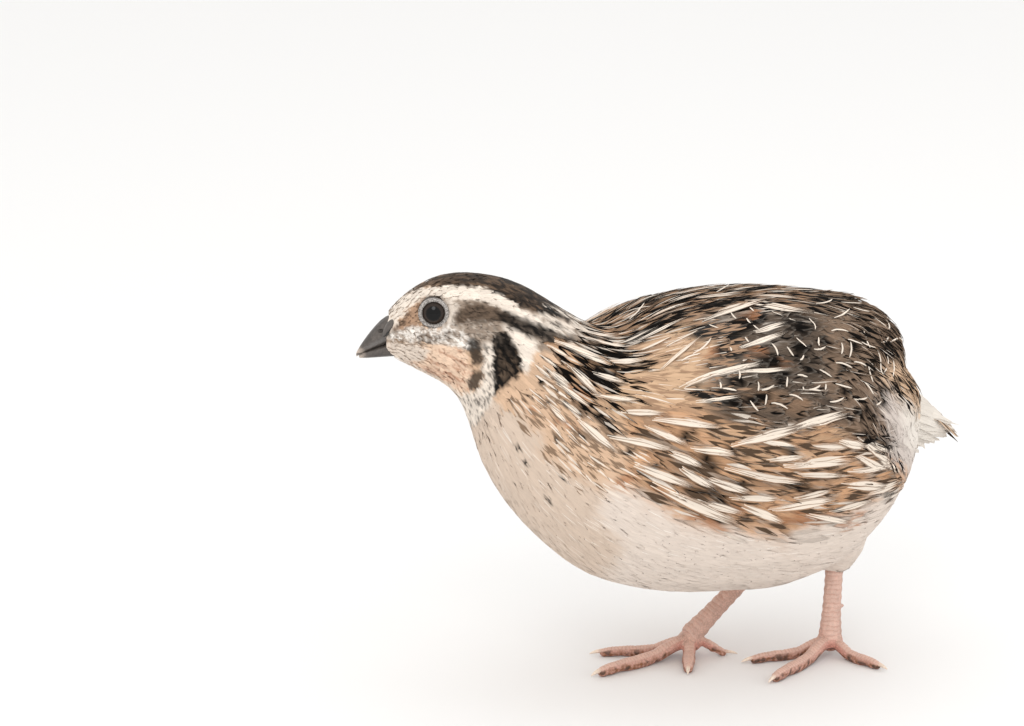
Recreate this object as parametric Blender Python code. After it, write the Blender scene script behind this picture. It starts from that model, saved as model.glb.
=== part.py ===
"""A coturnix quail hen, life size, standing in mid-step with her head turned a little to her right.

The flesh is one loft along the spine, from the rump to the bill's base, parted by thin cuts into
torso, neck and head. Wings and tail are thin plates bent over that loft, with their feathers in
tiers. All lengths below are millimetres: forward, left and up, measured from the body's middle.
"""

import math
from collections import namedtuple

import bmesh
import bpy
from mathutils import Matrix, Vector

MM = 0.001
GAP = 0.3  # the space that touching pieces keep

# The row's origin lies on the floor under the middle of the bird's box.
ORIGIN_FORWARD = 4.5
ORIGIN_LEFT = 0.0

HEAD_TURN = 30.0  # degrees that the head is turned to the bird's right
SPINE_SIDES = 22  # points round each ring of the flesh
RINGS_PER_GAP = 3  # rings between two stations of the spine

Station = namedtuple("Station", "forward left up tilt half_height half_width yaw")

# The spine's stations from rump to bill: the ring's middle, the lean of its top towards the
# tail in degrees, its half height and half width, and its turn to the right in degrees.
SPINE = (
    Station(-60.5, 0.0, 66.9, 0.0, 6.8, 6.3, 0.0),
    Station(-57.0, 0.0, 66.2, 0.0, 18.0, 16.3, 0.0),
    Station(-50.0, 0.0, 64.7, 0.0, 28.2, 26.8, 0.0),
    Station(-37.0, 0.0, 60.8, 0.0, 35.8, 33.9, 0.0),
    Station(-20.0, 0.0, 59.8, 0.0, 39.9, 37.2, 0.0),
    Station(-3.0, 0.0, 60.7, 0.0, 39.7, 38.1, 0.0),
    Station(13.0, 0.0, 61.5, 3.0, 38.2, 37.1, 0.0),
    Station(27.0, 0.0, 63.1, 10.0, 34.1, 33.5, 0.0),
    Station(38.5, 0.0, 69.0, 22.0, 27.8, 28.1, 0.0),
    Station(47.0, 0.0, 78.2, 38.0, 22.7, 21.4, 5.0),
    Station(52.9, -1.6, 86.1, 38.0, 18.9, 17.0, 15.0),
    Station(58.9, -4.8, 93.1, 28.0, 16.5, 13.3, 24.0),
    Station(65.2, -8.1, 96.6, 19.0, 14.7, 11.6, 30.0),
    Station(71.9, -11.9, 97.9, 13.0, 12.5, 10.4, 30.0),
    Station(77.6, -15.2, 97.0, 7.0, 8.9, 7.6, 30.0),
    Station(81.8, -17.6, 94.6, 0.0, 5.2, 4.6, 30.0),
)
TORSO_END = 9.3  # stations where the flesh is parted
NECK_END = 11.7


def world(forward, left, up):
    """A place in the row's frame: the bird faces -X, and her left is -Y."""
    return Vector((ORIGIN_FORWARD - forward, ORIGIN_LEFT - left, up)) * MM


def spline(values, t):
    """A smooth curve through values, which are read at 0, 1, 2 and so on."""
    last = len(values) - 1
    i = min(int(max(t, 0.0)), last - 1)
    u = min(max(t, 0.0), float(last)) - i
    a, b, c, d = (values[min(max(k, 0), last)] for k in (i - 1, i, i + 1, i + 2))
    return 0.5 * (
        2 * b + (c - a) * u + (2 * a - 5 * b + 4 * c - d) * u * u
        + (3 * b - a - 3 * c + d) * u**3
    )


def station_at(t):
    return Station(*(spline([s[k] for s in SPINE], t) for k in range(len(Station._fields))))


def flesh_point(t, angle, out=0.0):
    """A point of the bird's surface. angle runs from the top, in degrees, down her left side;
    out is a height over the surface in millimetres."""
    def plain(at, turn):
        s = station_at(at)
        yaw, tilt, turn = math.radians(s.yaw), math.radians(s.tilt), math.radians(turn)
        ahead = Vector((math.cos(yaw), -math.sin(yaw), 0.0))
        side = Vector((math.sin(yaw), math.cos(yaw), 0.0))
        top = ahead * -math.sin(tilt) + Vector((0, 0, math.cos(tilt)))
        middle = Vector((s.forward, s.left, s.up))
        return (
            middle + top * (s.half_height * math.cos(turn))
            + side * (s.half_width * math.sin(turn))
        )

    here = plain(t, angle)
    if not out:
        return here
    step = 0.02
    along = plain(t + step, angle) - plain(t - step, angle)
    around = plain(t, angle + 1.0) - plain(t, angle - 1.0)
    return here + along.cross(around).normalized() * out


def new_object(name, mesh, material):
    mesh.materials.clear()
    mesh.materials.append(material)
    obj = bpy.data.objects.new(name, mesh)
    BIRD.objects.link(obj)
    return obj


def loft(name, rings, material):
    """A closed solid through rings of points in millimetres, each end closed by a fan."""
    bm = bmesh.new()
    made = [[bm.verts.new(world(*p)) for p in ring] for ring in rings]
    sides = len(rings[0])
    for low, high in zip(made, made[1:]):
        for k in range(sides):
            n = (k + 1) % sides
            bm.faces.new((low[k], low[n], high[n], high[k]))
    for ring, flip in ((made[0], True), (made[-1], False)):
        middle = sum((v.co for v in ring), Vector()) / sides
        hub = bm.verts.new(middle)
        for k in range(sides):
            n = (k + 1) % sides
            bm.faces.new((ring[n], ring[k], hub) if flip else (ring[k], ring[n], hub))
    bmesh.ops.recalc_face_normals(bm, faces=bm.faces)
    mesh = bpy.data.meshes.new(name)
    bm.to_mesh(mesh)
    bm.free()
    mesh.shade_smooth()
    return new_object(name, mesh, material)


def apply_modifiers(obj):
    bpy.context.view_layer.objects.active = obj
    for modifier in list(obj.modifiers):
        bpy.ops.object.modifier_apply(modifier=modifier.name)


def remove(obj):
    bpy.data.objects.remove(obj)


def boolean(obj, operation, others, solver="EXACT"):
    """Joins others to obj or cuts them from it, and removes them."""
    group = bpy.data.collections.new("tools")
    for other in others:
        group.objects.link(other)
    modifier = obj.modifiers.new("shape", "BOOLEAN")
    modifier.operation = operation
    modifier.solver = solver
    modifier.operand_type = "COLLECTION"
    modifier.collection = group
    apply_modifiers(obj)
    for other in others:
        remove(other)
    bpy.data.collections.remove(group)
    keep_largest(obj)
    return obj


def keep_largest(obj):
    """Leaves only the largest closed surface of obj's mesh."""
    bm = bmesh.new()
    bm.from_mesh(obj.data)
    bmesh.ops.remove_doubles(bm, verts=bm.verts, dist=1e-7)
    bm.verts.ensure_lookup_table()
    seen, groups = set(), []
    for start in bm.verts:
        if start in seen:
            continue
        group, queue = [], [start]
        seen.add(start)
        while queue:
            v = queue.pop()
            group.append(v)
            for e in v.link_edges:
                other = e.other_vert(v)
                if other not in seen:
                    seen.add(other)
                    queue.append(other)
        groups.append(group)
    groups.sort(key=len)
    for group in groups[:-1]:
        bmesh.ops.delete(bm, geom=group, context="VERTS")
    bm.to_mesh(obj.data)
    bm.free()


def copy_of(obj, name, mat, out=0.0):
    """A copy of obj whose surface stands out millimetres further along its normals."""
    mesh = obj.data.copy()
    bm = bmesh.new()
    bm.from_mesh(mesh)
    bm.normal_update()
    moved = [v.co + v.normal * out * MM for v in bm.verts]
    for v, place in zip(bm.verts, moved):
        v.co = place
    bm.to_mesh(mesh)
    bm.free()
    return new_object(name, mesh, mat)


def cut_plane(obj, point, normal):
    """Removes what lies ahead of a plane and closes the cut. The plane is in millimetres."""
    bm = bmesh.new()
    bm.from_mesh(obj.data)
    origin = world(*point)
    direction = (world(*(point + normal)) - origin).normalized()
    cut = bmesh.ops.bisect_plane(
        bm, geom=bm.verts[:] + bm.edges[:] + bm.faces[:], dist=1e-8,
        plane_co=origin, plane_no=direction, clear_outer=True,
    )
    rim = [e for e in cut["geom_cut"] if isinstance(e, bmesh.types.BMEdge)]
    bmesh.ops.holes_fill(bm, edges=rim)
    bmesh.ops.recalc_face_normals(bm, faces=bm.faces)
    bm.to_mesh(obj.data)
    bm.free()
    return obj


def material(name, colour, roughness):
    made = bpy.data.materials.new(name)
    made.use_nodes = True
    shader = made.node_tree.nodes["Principled BSDF"]
    shader.inputs["Base Color"].default_value = (*colour, 1.0)
    shader.inputs["Roughness"].default_value = roughness
    shader.inputs["Metallic"].default_value = 0.0
    return made


def flesh_rings(first, last, out=0.0):
    count = round((last - first) * RINGS_PER_GAP) + 1
    return [
        [
            flesh_point(first + (last - first) * i / (count - 1), 360.0 * k / SPINE_SIDES, out)
            for k in range(SPINE_SIDES)
        ]
        for i in range(count)
    ]


def station_plane(t):
    """The middle of the spine's ring at t, and the direction that its plane faces."""
    s = station_at(t)
    yaw, tilt = math.radians(s.yaw), math.radians(s.tilt)
    facing = Vector((
        math.cos(yaw) * math.cos(tilt), -math.sin(yaw) * math.cos(tilt), math.sin(tilt)
    ))
    return Vector((s.forward, s.left, s.up)), facing


def make_flesh():
    """Torso, neck and head, parted by cuts as wide as the gap."""
    whole = loft("torso", flesh_rings(0, len(SPINE) - 1), BODY_FEATHER)
    neck = copy_of(whole, "neck", NECK_FEATHER)
    head = copy_of(whole, "head", HEAD_FEATHER)
    shy = GAP / 2
    base, base_facing = station_plane(TORSO_END)
    nape, nape_facing = station_plane(NECK_END)
    cut_plane(whole, base - base_facing * shy, base_facing)
    cut_plane(neck, base + base_facing * shy, -base_facing)
    cut_plane(neck, nape - nape_facing * shy, nape_facing)
    cut_plane(head, nape + nape_facing * shy, -nape_facing)
    return whole, neck, head


# The head and bill are sized in the head's own plane: ahead along the bill from the
# body's middle, aside to the bird's left, and up.
HEAD_PIVOT_FORWARD = 11.0
HEAD_PIVOT_LEFT = 23.2


def head_place(ahead, aside, up):
    """Head sizes as forward, left and up."""
    turn = math.radians(HEAD_TURN)
    return (
        HEAD_PIVOT_FORWARD + ahead * math.cos(turn) + aside * math.sin(turn),
        HEAD_PIVOT_LEFT - ahead * math.sin(turn) + aside * math.cos(turn),
        up,
    )


EYE_AHEAD, EYE_UP = 69.0, 101.9
EYE_ASIDE = 6.7  # the eyeball's middle, from the head's middle plane
EYE_RADIUS = 4.0
EYE_OPENING = 2.9  # radius of the lids' opening
LID_RADIUS = 0.5
BILL_SIDES = 12

BillRing = namedtuple("BillRing", "ahead top bottom half_width")
UPPER_BILL = (
    BillRing(77.5, 100.6, 93.7, 3.4),
    BillRing(81.5, 99.5, 92.4, 3.3),
    BillRing(84.2, 97.1, 91.2, 2.6),
    BillRing(86.5, 94.2, 90.3, 1.8),
    BillRing(88.2, 91.7, 89.5, 1.05),
    BillRing(89.2, 89.9, 88.8, 0.35),
)
LOWER_BILL = (
    BillRing(77.0, 93.1, 89.3, 3.0),
    BillRing(80.5, 92.3, 89.1, 2.8),
    BillRing(84.0, 90.9, 88.8, 2.1),
    BillRing(86.4, 89.9, 88.6, 1.3),
    BillRing(87.7, 89.2, 88.6, 0.6),
)


def bill_half(name, table, rounding_top, rounding_bottom, out=0.0):
    """One half of the bill, through its rings; rounding 1 is an ellipse, less is flatter."""
    rings = []
    steps = (len(table) - 1) * 2
    for i in range(steps + 1):
        t = i * (len(table) - 1) / steps
        ahead, top, bottom, width = (spline([r[k] for r in table], t) for k in range(4))
        if out:
            ahead += out if i == steps else 0.0
        middle = (top + bottom) / 2
        half = (top - bottom) / 2
        ring = []
        for k in range(BILL_SIDES):
            angle = 2 * math.pi * k / BILL_SIDES
            rise, across = math.cos(angle), math.sin(angle)
            power = rounding_top if rise > 0 else rounding_bottom
            rise = math.copysign(abs(rise) ** power, rise)
            ring.append(head_place(ahead, across * (width + out), middle + rise * (half + out)))
        rings.append(ring)
    return loft(name, rings, HORN)


def sphere(name, centre, radius, segments, rings, mat, scale=(1, 1, 1), turn=0.0):
    """An ellipsoid; scale runs along its own ahead, aside and up, turned to the right."""
    bm = bmesh.new()
    bmesh.ops.create_uvsphere(bm, u_segments=segments, v_segments=rings, radius=radius * MM)
    bmesh.ops.scale(bm, verts=bm.verts, vec=scale)
    bmesh.ops.rotate(bm, verts=bm.verts, matrix=Matrix.Rotation(-math.radians(turn), 3, "Z"))
    bmesh.ops.translate(bm, verts=bm.verts, vec=world(*centre))
    mesh = bpy.data.meshes.new(name)
    bm.to_mesh(mesh)
    bm.free()
    mesh.shade_smooth()
    return new_object(name, mesh, mat)


def lid_ring(name, side):
    """The raised rim of the lids: a torus that faces straight out of the head."""
    facing = side * math.sqrt(EYE_RADIUS**2 - EYE_OPENING**2)
    centre = world(*head_place(EYE_AHEAD, side * EYE_ASIDE + facing, EYE_UP))
    bpy.ops.mesh.primitive_torus_add(
        major_radius=(EYE_OPENING + LID_RADIUS) * MM, minor_radius=LID_RADIUS * 1.3 * MM,
        major_segments=20, minor_segments=6, location=centre,
        rotation=(math.radians(90), 0, -math.radians(HEAD_TURN)),
    )
    ring = bpy.context.object
    bpy.ops.object.transform_apply()
    ring.name = name
    for owner in list(ring.users_collection):
        owner.objects.unlink(ring)
    BIRD.objects.link(ring)
    return ring


NOSTRIL = (82.6, 2.55, 96.2)  # ahead, aside and up
NOSTRIL_RADIUS = 0.55
GAPE = (74.6, 7.5, 92.7)  # the middle of the mouth's line behind the bill
GAPE_SIZE = (4.4, 0.7, 0.2)
GAPE_TURN = 24.0


def make_head(head):
    """Lids, eye sockets and the bill's seat are cut into the head; eyes and bill fill them."""
    rings = [lid_ring(f"lid_{side}", side) for side in (1, -1)]
    boolean(head, "UNION", rings)
    tools = []
    for side in (1, -1):
        centre = head_place(EYE_AHEAD, side * EYE_ASIDE, EYE_UP)
        name = "eye_left" if side > 0 else "eye_right"
        sphere(name, centre, EYE_RADIUS, 16, 10, EYE, turn=HEAD_TURN)
        tools.append(sphere("socket", centre, EYE_RADIUS + GAP, 16, 10, EYE, turn=HEAD_TURN))
        tools.append(sphere(
            "gape", head_place(GAPE[0], side * GAPE[1], GAPE[2]), 1.0, 12, 6, HEAD_FEATHER,
            scale=GAPE_SIZE, turn=HEAD_TURN + side * GAPE_TURN,
        ))
    tools.append(bill_half("upper_seat", UPPER_BILL, 1.0, 0.7, GAP))
    tools.append(bill_half("lower_seat", LOWER_BILL, 0.7, 1.0, GAP))
    boolean(head, "DIFFERENCE", tools)
    upper = bill_half("bill_upper", UPPER_BILL, 1.0, 0.7)
    nostrils = [
        sphere(
            "nostril", head_place(NOSTRIL[0], side * NOSTRIL[1], NOSTRIL[2]),
            NOSTRIL_RADIUS, 8, 6, HORN, scale=(2.4, 1.2, 0.8), turn=HEAD_TURN,
        )
        for side in (1, -1)
    ]
    boolean(upper, "DIFFERENCE", nostrils)
    lower = bill_half("bill_lower", LOWER_BILL, 0.7, 1.0)
    boolean(lower, "DIFFERENCE", [bill_half("tomium", UPPER_BILL, 1.0, 0.7, GAP)])


VANE_OUTLINE = (0.75, 1.0, 1.0, 0.82)  # share of the width along the vane, then the tip
VANE_SIDE_GAP = 0.3  # between neighbours in one tier


def vane(name, line, across, up, width, thickness, mat):
    """A feather's vane: a flat leaf along line with a raised quill, ending in a rounded tip."""
    rings = []
    for i, place in enumerate(line[:-1]):
        half = width / 2 * VANE_OUTLINE[i]
        thick = thickness * (1.0 - 0.3 * i / (len(line) - 1))
        rings.append([
            place - across[i] * half, place + up[i] * thick * 0.6,
            place + across[i] * half, place - up[i] * thick * 0.4,
        ])
    tip, blunt = line[-1], 0.22
    rings.append([
        tip - across[-1] * width * blunt, tip + up[-1] * thickness * 0.35,
        tip + across[-1] * width * blunt, tip - up[-1] * thickness * 0.2,
    ])
    return loft(name, rings, mat)


def surface_vane(side, start, lean, length, width, thickness, lift, sink):
    """A vane that lies along the wing from start, a station and an angle, towards the tail.
    lean turns it down the flank, in degrees over its length. It rises from sink under the
    wing's surface at its root to lift over it at its tip."""
    line, across, up = [], [], []
    t, angle = start
    place, walked = flesh_point(t, angle), 0.0
    for i in range(len(VANE_OUTLINE) + 1):
        share = i / len(VANE_OUTLINE)
        while walked < length * share and t > 0.15:
            t -= 0.03
            angle = start[1] + lean * walked / length
            nearer = flesh_point(t, angle)
            walked += (nearer - place).length
            place = nearer
        out = wing_height(t, angle) + lift * share - sink * (1 - share) ** 2
        here = flesh_point(t, angle, out)
        normal = (flesh_point(t, angle, out + 1.0) - here).normalized()
        ahead = (flesh_point(t + 0.05, angle, out) - here).normalized()
        line.append(here)
        up.append(normal)
        across.append(normal.cross(ahead).normalized())
    if side < 0:
        line, up = ([mirrored(v) for v in group] for group in (line, up))
        across = [-mirrored(v) for v in across]
    return vane("vane", line, across, up, width, thickness, WING_FEATHER)


def mirrored(v):
    return Vector((v.x, -v.y, v.z))


# The folded wing, from its bend at the breast to its tip beside the tail, in stations of the
# spine, with its upper and lower edges in degrees from the back's middle line.
WING_FRONT, WING_BACK = 8.0, 1.2
WING_TOP = (44.0, 34.0, 28.0, 26.0, 29.0, 38.0, 50.0)
WING_LOW = (70.0, 86.0, 94.0, 96.0, 92.0, 84.0, 72.0)
WING_THICK = (0.6, 0.9, 1.1, 1.2, 1.1, 0.9, 0.6)
WING_STEPS, WING_ROWS = 14, 8
WING_ROOT_DEPTH = 1.6  # how far the plate starts under the flesh before it is cut clear

TierRow = namedtuple("TierRow", "count first last length thickness lean lift")
# Each tier's feathers start from first to last, each a station and an angle.
WING_TIERS = (
    TierRow(4, (4.4, 85.0), (3.7, 63.0), 35.0, 0.9, -7.0, 0.9),
    TierRow(4, (5.1, 76.0), (4.6, 40.0), 31.0, 1.0, -2.0, 1.2),
    TierRow(6, (6.1, 84.0), (5.4, 36.0), 22.0, 1.0, 0.0, 1.2),
    TierRow(6, (6.9, 80.0), (6.4, 38.0), 17.5, 0.9, 0.0, 1.1),
    TierRow(5, (7.6, 75.0), (7.2, 45.0), 14.5, 0.8, 0.0, 0.9),
)


def along_wing(table, t):
    return spline(table, (WING_FRONT - t) / (WING_FRONT - WING_BACK) * (len(table) - 1))


def wing_height(t, angle):
    """How high the wing's plate stands over the body's surface."""
    top, low = along_wing(WING_TOP, t), along_wing(WING_LOW, t)
    inset = min(1.0, max(0.0, 4.0 * min(angle - top, low - angle) / (low - top)))
    return GAP + 0.5 + along_wing(WING_THICK, t) * inset


def wing_plate(name, side):
    """The wing's own body: a plate bent over the flank."""
    grid = {}
    for i in range(WING_STEPS + 1):
        t = WING_FRONT + (WING_BACK - WING_FRONT) * i / WING_STEPS
        top, low = along_wing(WING_TOP, t), along_wing(WING_LOW, t)
        for k in range(WING_ROWS + 1):
            angle = top + (low - top) * k / WING_ROWS
            for layer, out in ((0, -WING_ROOT_DEPTH), (1, wing_height(t, angle))):
                place = flesh_point(t, angle, out)
                grid[i, k, layer] = mirrored(place) if side < 0 else place
    bm = bmesh.new()
    verts = {key: bm.verts.new(world(*place)) for key, place in grid.items()}
    for layer in (0, 1):
        for i in range(WING_STEPS):
            for k in range(WING_ROWS):
                corners = ((i, k), (i + 1, k), (i + 1, k + 1), (i, k + 1))
                bm.faces.new([verts[a, b, layer] for a, b in corners])
    rim = [(i, 0) for i in range(WING_STEPS)] + [(WING_STEPS, k) for k in range(WING_ROWS)]
    rim += [(i, WING_ROWS) for i in range(WING_STEPS, 0, -1)]
    rim += [(0, k) for k in range(WING_ROWS, 0, -1)]
    for a, b in zip(rim, rim[1:] + rim[:1]):
        bm.faces.new((verts[*a, 0], verts[*b, 0], verts[*b, 1], verts[*a, 1]))
    bmesh.ops.recalc_face_normals(bm, faces=bm.faces)
    mesh = bpy.data.meshes.new(name)
    bm.to_mesh(mesh)
    bm.free()
    mesh.shade_smooth()
    return new_object(name, mesh, WING_FEATHER)


def make_wing(name, side, body):
    wing = wing_plate(name, side)
    vanes = []
    for row in WING_TIERS:
        starts = [
            tuple(a + (b - a) * k / (row.count - 1) for a, b in zip(row.first, row.last))
            for k in range(row.count)
        ]
        step = (flesh_point(*starts[1]) - flesh_point(*starts[0])).length
        for start in starts:
            vanes.append(surface_vane(
                side, start, row.lean, row.length, step - VANE_SIDE_GAP, row.thickness,
                row.lift, 0.9,
            ))
    boolean(wing, "UNION", vanes)
    boolean(wing, "DIFFERENCE", [copy_of(body, "clearance", BODY_FEATHER, GAP)])
    return wing


# The tail: a short drooping wedge whose feathers fan out from under the rump.
TailRing = namedtuple("TailRing", "forward top bottom half_width")
TAIL = (
    TailRing(-48.0, 77.0, 52.0, 15.0),
    TailRing(-58.5, 75.0, 50.0, 14.5),
    TailRing(-63.5, 70.3, 50.0, 12.5),
    TailRing(-67.5, 64.8, 50.6, 10.0),
    TailRing(-71.0, 59.8, 51.9, 7.5),
    TailRing(-73.0, 57.0, 53.0, 5.0),
)
TAIL_SIDES = 12
TAIL_FEATHERS = 7
TAIL_FAN = 58.0  # degrees between the outer feathers
TAIL_DROOP = 40.0


def straight_vane(root, direction, up, length, width, thickness):
    """A vane that runs straight from root."""
    direction, up = direction.normalized(), up.normalized()
    across = up.cross(direction).normalized()
    count = len(VANE_OUTLINE) + 1
    line = [root + direction * length * i / (count - 1) for i in range(count)]
    return vane("vane", line, [across] * count, [up] * count, width, thickness, TAIL_FEATHER)


def make_tail(body):
    rings = []
    for ring in TAIL:
        middle, half = (ring.top + ring.bottom) / 2, (ring.top - ring.bottom) / 2
        rings.append([
            (
                ring.forward, ring.half_width * math.sin(2 * math.pi * k / TAIL_SIDES),
                middle + half * math.cos(2 * math.pi * k / TAIL_SIDES),
            )
            for k in range(TAIL_SIDES)
        ])
    tail = loft("tail", rings, TAIL_FEATHER)
    vanes = []
    droop = math.radians(TAIL_DROOP)
    for k in range(TAIL_FEATHERS):
        fan = math.radians(TAIL_FAN * (k / (TAIL_FEATHERS - 1) - 0.5))
        direction = Vector((-math.cos(fan), math.sin(fan), -math.tan(droop)))
        root = Vector((-60.0, 11.0 * fan, 69.0 - 3.0 * fan * fan - 1.3 * (k % 2)))
        vanes.append(straight_vane(
            root, direction, Vector((-0.8, 0, 1)), 25.0 - 6.0 * abs(fan), 4.8, 0.9,
        ))
    boolean(tail, "UNION", vanes)
    boolean(tail, "DIFFERENCE", [copy_of(body, "clearance", BODY_FEATHER, GAP)])
    return tail


# The legs. Each shank runs from the joint of the toes up into the feathers. Bearings are
# degrees from straight ahead towards the bird's left.
Leg = namedtuple("Leg", "name joint knee toes")
Toe = namedtuple("Toe", "name bearing length radius start_up")
LEGS = (
    Leg("left", (-35.2, 10.3, 5.2), (-36.3, 10.6, 31.0), (
        Toe("outer", 104.0, 17.0, 1.5, 4.0),
        Toe("middle", 27.5, 28.0, 1.7, 4.4),
        Toe("inner", -7.0, 22.0, 1.5, 4.2),
        Toe("hind", 226.0, 7.0, 1.15, 6.0),
    )),
    Leg("right", (-2.2, -7.0, 5.0), (-25.5, -7.6, 23.5), (
        Toe("outer", -23.5, 23.0, 1.5, 4.2),
        Toe("middle", 10.0, 30.0, 1.8, 4.4),
        Toe("inner", 58.0, 15.5, 1.7, 4.2),
        Toe("hind", 144.0, 9.0, 1.2, 5.6),
    )),
)
SHANK_RADIUS = (2.1, 2.0, 2.0, 2.15, 2.6)  # from the knee down to the toes' joint
SHANK_DEPTH = 1.18  # front to back, against side to side
SHANK_SCUTES = 11
SCUTE_STEP = 0.22
LEG_SIDES = 10
HUB_RADIUS = 3.0
TOE_SIDES = 8
SOLE_SINK = 0.35  # how far a toe dips under the floor before its flat is cut
CLAW_LENGTH = 4.4
CLAW_RADIUS = 0.85


def tube(name, line, radii, sides, mat, out=0.0, deep=1.0):
    """A tube along line; deep stretches it along the way that lies nearest to up."""
    rings = []
    for i, place in enumerate(line):
        before, after = line[max(i - 1, 0)], line[min(i + 1, len(line) - 1)]
        along = (after - before).normalized()
        across = along.cross(Vector((0, 0, 1)))
        if across.length < 0.3:
            across = along.cross(Vector((1, 0, 0)))
        across.normalize()
        rise = across.cross(along)
        ring = []
        for k in range(sides):
            angle = 2 * math.pi * k / sides
            radius = radii[i] + out
            ring.append(
                place + across * radius * math.cos(angle) + rise * radius * deep * math.sin(angle)
            )
        rings.append(ring)
    if out:
        first, last = (rings[0], line[0] - line[1]), (rings[-1], line[-1] - line[-2])
        for ring, away in (first, last):
            for k, p in enumerate(ring):
                ring[k] = p + away.normalized() * out
    return loft(name, rings, mat)


def shank(name, leg, out=0.0):
    """The scaled shank, stepped by its scutes, with the joint of the toes at its foot."""
    top, foot = Vector(leg.knee), Vector(leg.joint)
    line, radii = [], []
    for i in range(SHANK_SCUTES * 2 + 1):
        share = i / (SHANK_SCUTES * 2)
        line.append(top.lerp(foot, share))
        step = SCUTE_STEP if i % 2 else 0.0
        radii.append(spline(SHANK_RADIUS, share * (len(SHANK_RADIUS) - 1)) + step)
    made = tube(name, line, radii, LEG_SIDES, LEG_SKIN, out, SHANK_DEPTH)
    hub = sphere(
        "hub", (foot.x, foot.y, foot.z - 1.2), HUB_RADIUS + out, 14, 8, LEG_SKIN,
        scale=(1.15, 1.15, 1.0),
    )
    return boolean(made, "UNION", [hub])


def toe_line(leg, toe):
    """The toe's middle line: down from the joint, then along the floor over its pads."""
    bearing = math.radians(toe.bearing)
    ahead = Vector((math.cos(bearing), math.sin(bearing), 0))
    foot = Vector((leg.joint[0], leg.joint[1], 0))
    rest = toe.radius - SOLE_SINK
    rises = (toe.start_up, (toe.start_up + rest) / 2 + 0.6, rest + 0.5, rest, rest + 0.25, rest)
    shares = (0.0, 0.2, 0.4, 0.62, 0.8, 1.0)
    if toe.name == "hind":
        rises = tuple(toe.start_up + (rest - toe.start_up) * share for share in shares)
    line = [
        foot + ahead * toe.length * share + Vector((0, 0, rise))
        for share, rise in zip(shares, rises)
    ]
    return line, ahead


def toe_tube(name, leg, toe, out=0.0):
    line, _ = toe_line(leg, toe)
    swell = (1.1, 1.02, 0.93, 1.02, 0.85, 0.72)
    smooth, radii = [], []
    steps = 10
    for i in range(steps + 1):
        t = i * (len(line) - 1) / steps
        smooth.append(Vector([spline([p[k] for p in line], t) for k in range(3)]))
        ridge = 0.1 if i % 2 else 0.0
        radii.append(toe.radius * spline(swell, t) + ridge)
    return tube(name, smooth, radii, TOE_SIDES, LEG_SKIN, out)


def claw_tube(name, leg, toe, out=0.0):
    line, ahead = toe_line(leg, toe)
    start = line[-1] - ahead * 0.4 + Vector((0, 0, 0.35))
    places, radii = [], []
    for i in range(6):
        share = i / 5
        drop = 1.5 * share**2 * (toe.radius / 1.9)
        places.append(start + ahead * CLAW_LENGTH * share + Vector((0, 0, -drop + 0.5 * share)))
        radii.append(CLAW_RADIUS * toe.radius / 1.9 * (1 - share) ** 0.7 + 0.16)
    return tube(name, places, radii, 6, CLAW, out)


def make_leg(leg, body):
    shank_node = shank(f"shank_{leg.name}", leg)
    boolean(shank_node, "DIFFERENCE", [copy_of(body, "clearance", BODY_FEATHER, GAP)])
    placed = []
    for toe in leg.toes:
        node = toe_tube(f"toe_{toe.name}_{leg.name}", leg, toe)
        tools = [shank("clearance", leg, GAP)]
        tools += [toe_tube("clearance", leg, other, GAP) for other in placed]
        boolean(node, "DIFFERENCE", tools)
        cut_plane(node, Vector((0, 0, 0)), Vector((0, 0, -1)))
        placed.append(toe)
        claw = claw_tube(f"claw_{toe.name}_{leg.name}", leg, toe)
        boolean(claw, "DIFFERENCE", [toe_tube("clearance", leg, toe, GAP)])
        cut_plane(claw, Vector((0, 0, 0)), Vector((0, 0, -1)))
    cut_plane(shank_node, Vector((0, 0, 0)), Vector((0, 0, -1)))
    return shank_node


THIGH_RADIUS = (8.0, 7.4, 5.6, 3.3)
THIGH_STARTS = {"left": -2.0, "right": -2.0}  # from the knee, along the shank
THIGH_LENGTHS = {"left": 9.7, "right": 8.5}


def make_thigh(leg, body):
    """The feathered cuff where the shank leaves the belly, cut clear of belly and shank."""
    top, foot = Vector(leg.knee), Vector(leg.joint)
    down = (foot - top).normalized()
    start, length = THIGH_STARTS[leg.name], THIGH_LENGTHS[leg.name]
    line = [top + down * (start + length * i / 3) for i in range(len(THIGH_RADIUS))]
    thigh = tube(f"thigh_{leg.name}", line, THIGH_RADIUS, 16, THIGH_FEATHER)
    tools = [copy_of(body, "clearance", BODY_FEATHER, GAP), shank("clearance", leg, GAP)]
    boolean(thigh, "DIFFERENCE", tools)
    return thigh


for old in list(bpy.data.objects):
    bpy.data.objects.remove(old)
BIRD = bpy.data.collections.new("coturnix_quail")
bpy.context.scene.collection.children.link(BIRD)
BODY_FEATHER = material("body_feathers", (0.62, 0.53, 0.45), 0.85)
NECK_FEATHER = material("neck_feathers", (0.30, 0.22, 0.16), 0.85)
HEAD_FEATHER = material("head_feathers", (0.25, 0.19, 0.14), 0.85)
WING_FEATHER = material("wing_feathers", (0.27, 0.21, 0.16), 0.8)
TAIL_FEATHER = material("tail_feathers", (0.42, 0.36, 0.31), 0.85)
THIGH_FEATHER = material("thigh_feathers", (0.72, 0.66, 0.58), 0.85)
HORN = material("bill_horn", (0.10, 0.10, 0.11), 0.4)
EYE = material("eye_dark", (0.012, 0.010, 0.009), 0.05)
LEG_SKIN = material("leg_skin", (0.70, 0.42, 0.36), 0.5)
CLAW = material("claw_horn", (0.62, 0.50, 0.42), 0.4)

torso, neck, head = make_flesh()
make_wing("wing_left", 1, torso)
make_wing("wing_right", -1, torso)
make_tail(torso)
make_head(head)
for a_leg in LEGS:
    make_thigh(a_leg, torso)
    make_leg(a_leg, torso)
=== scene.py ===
import math

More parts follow.
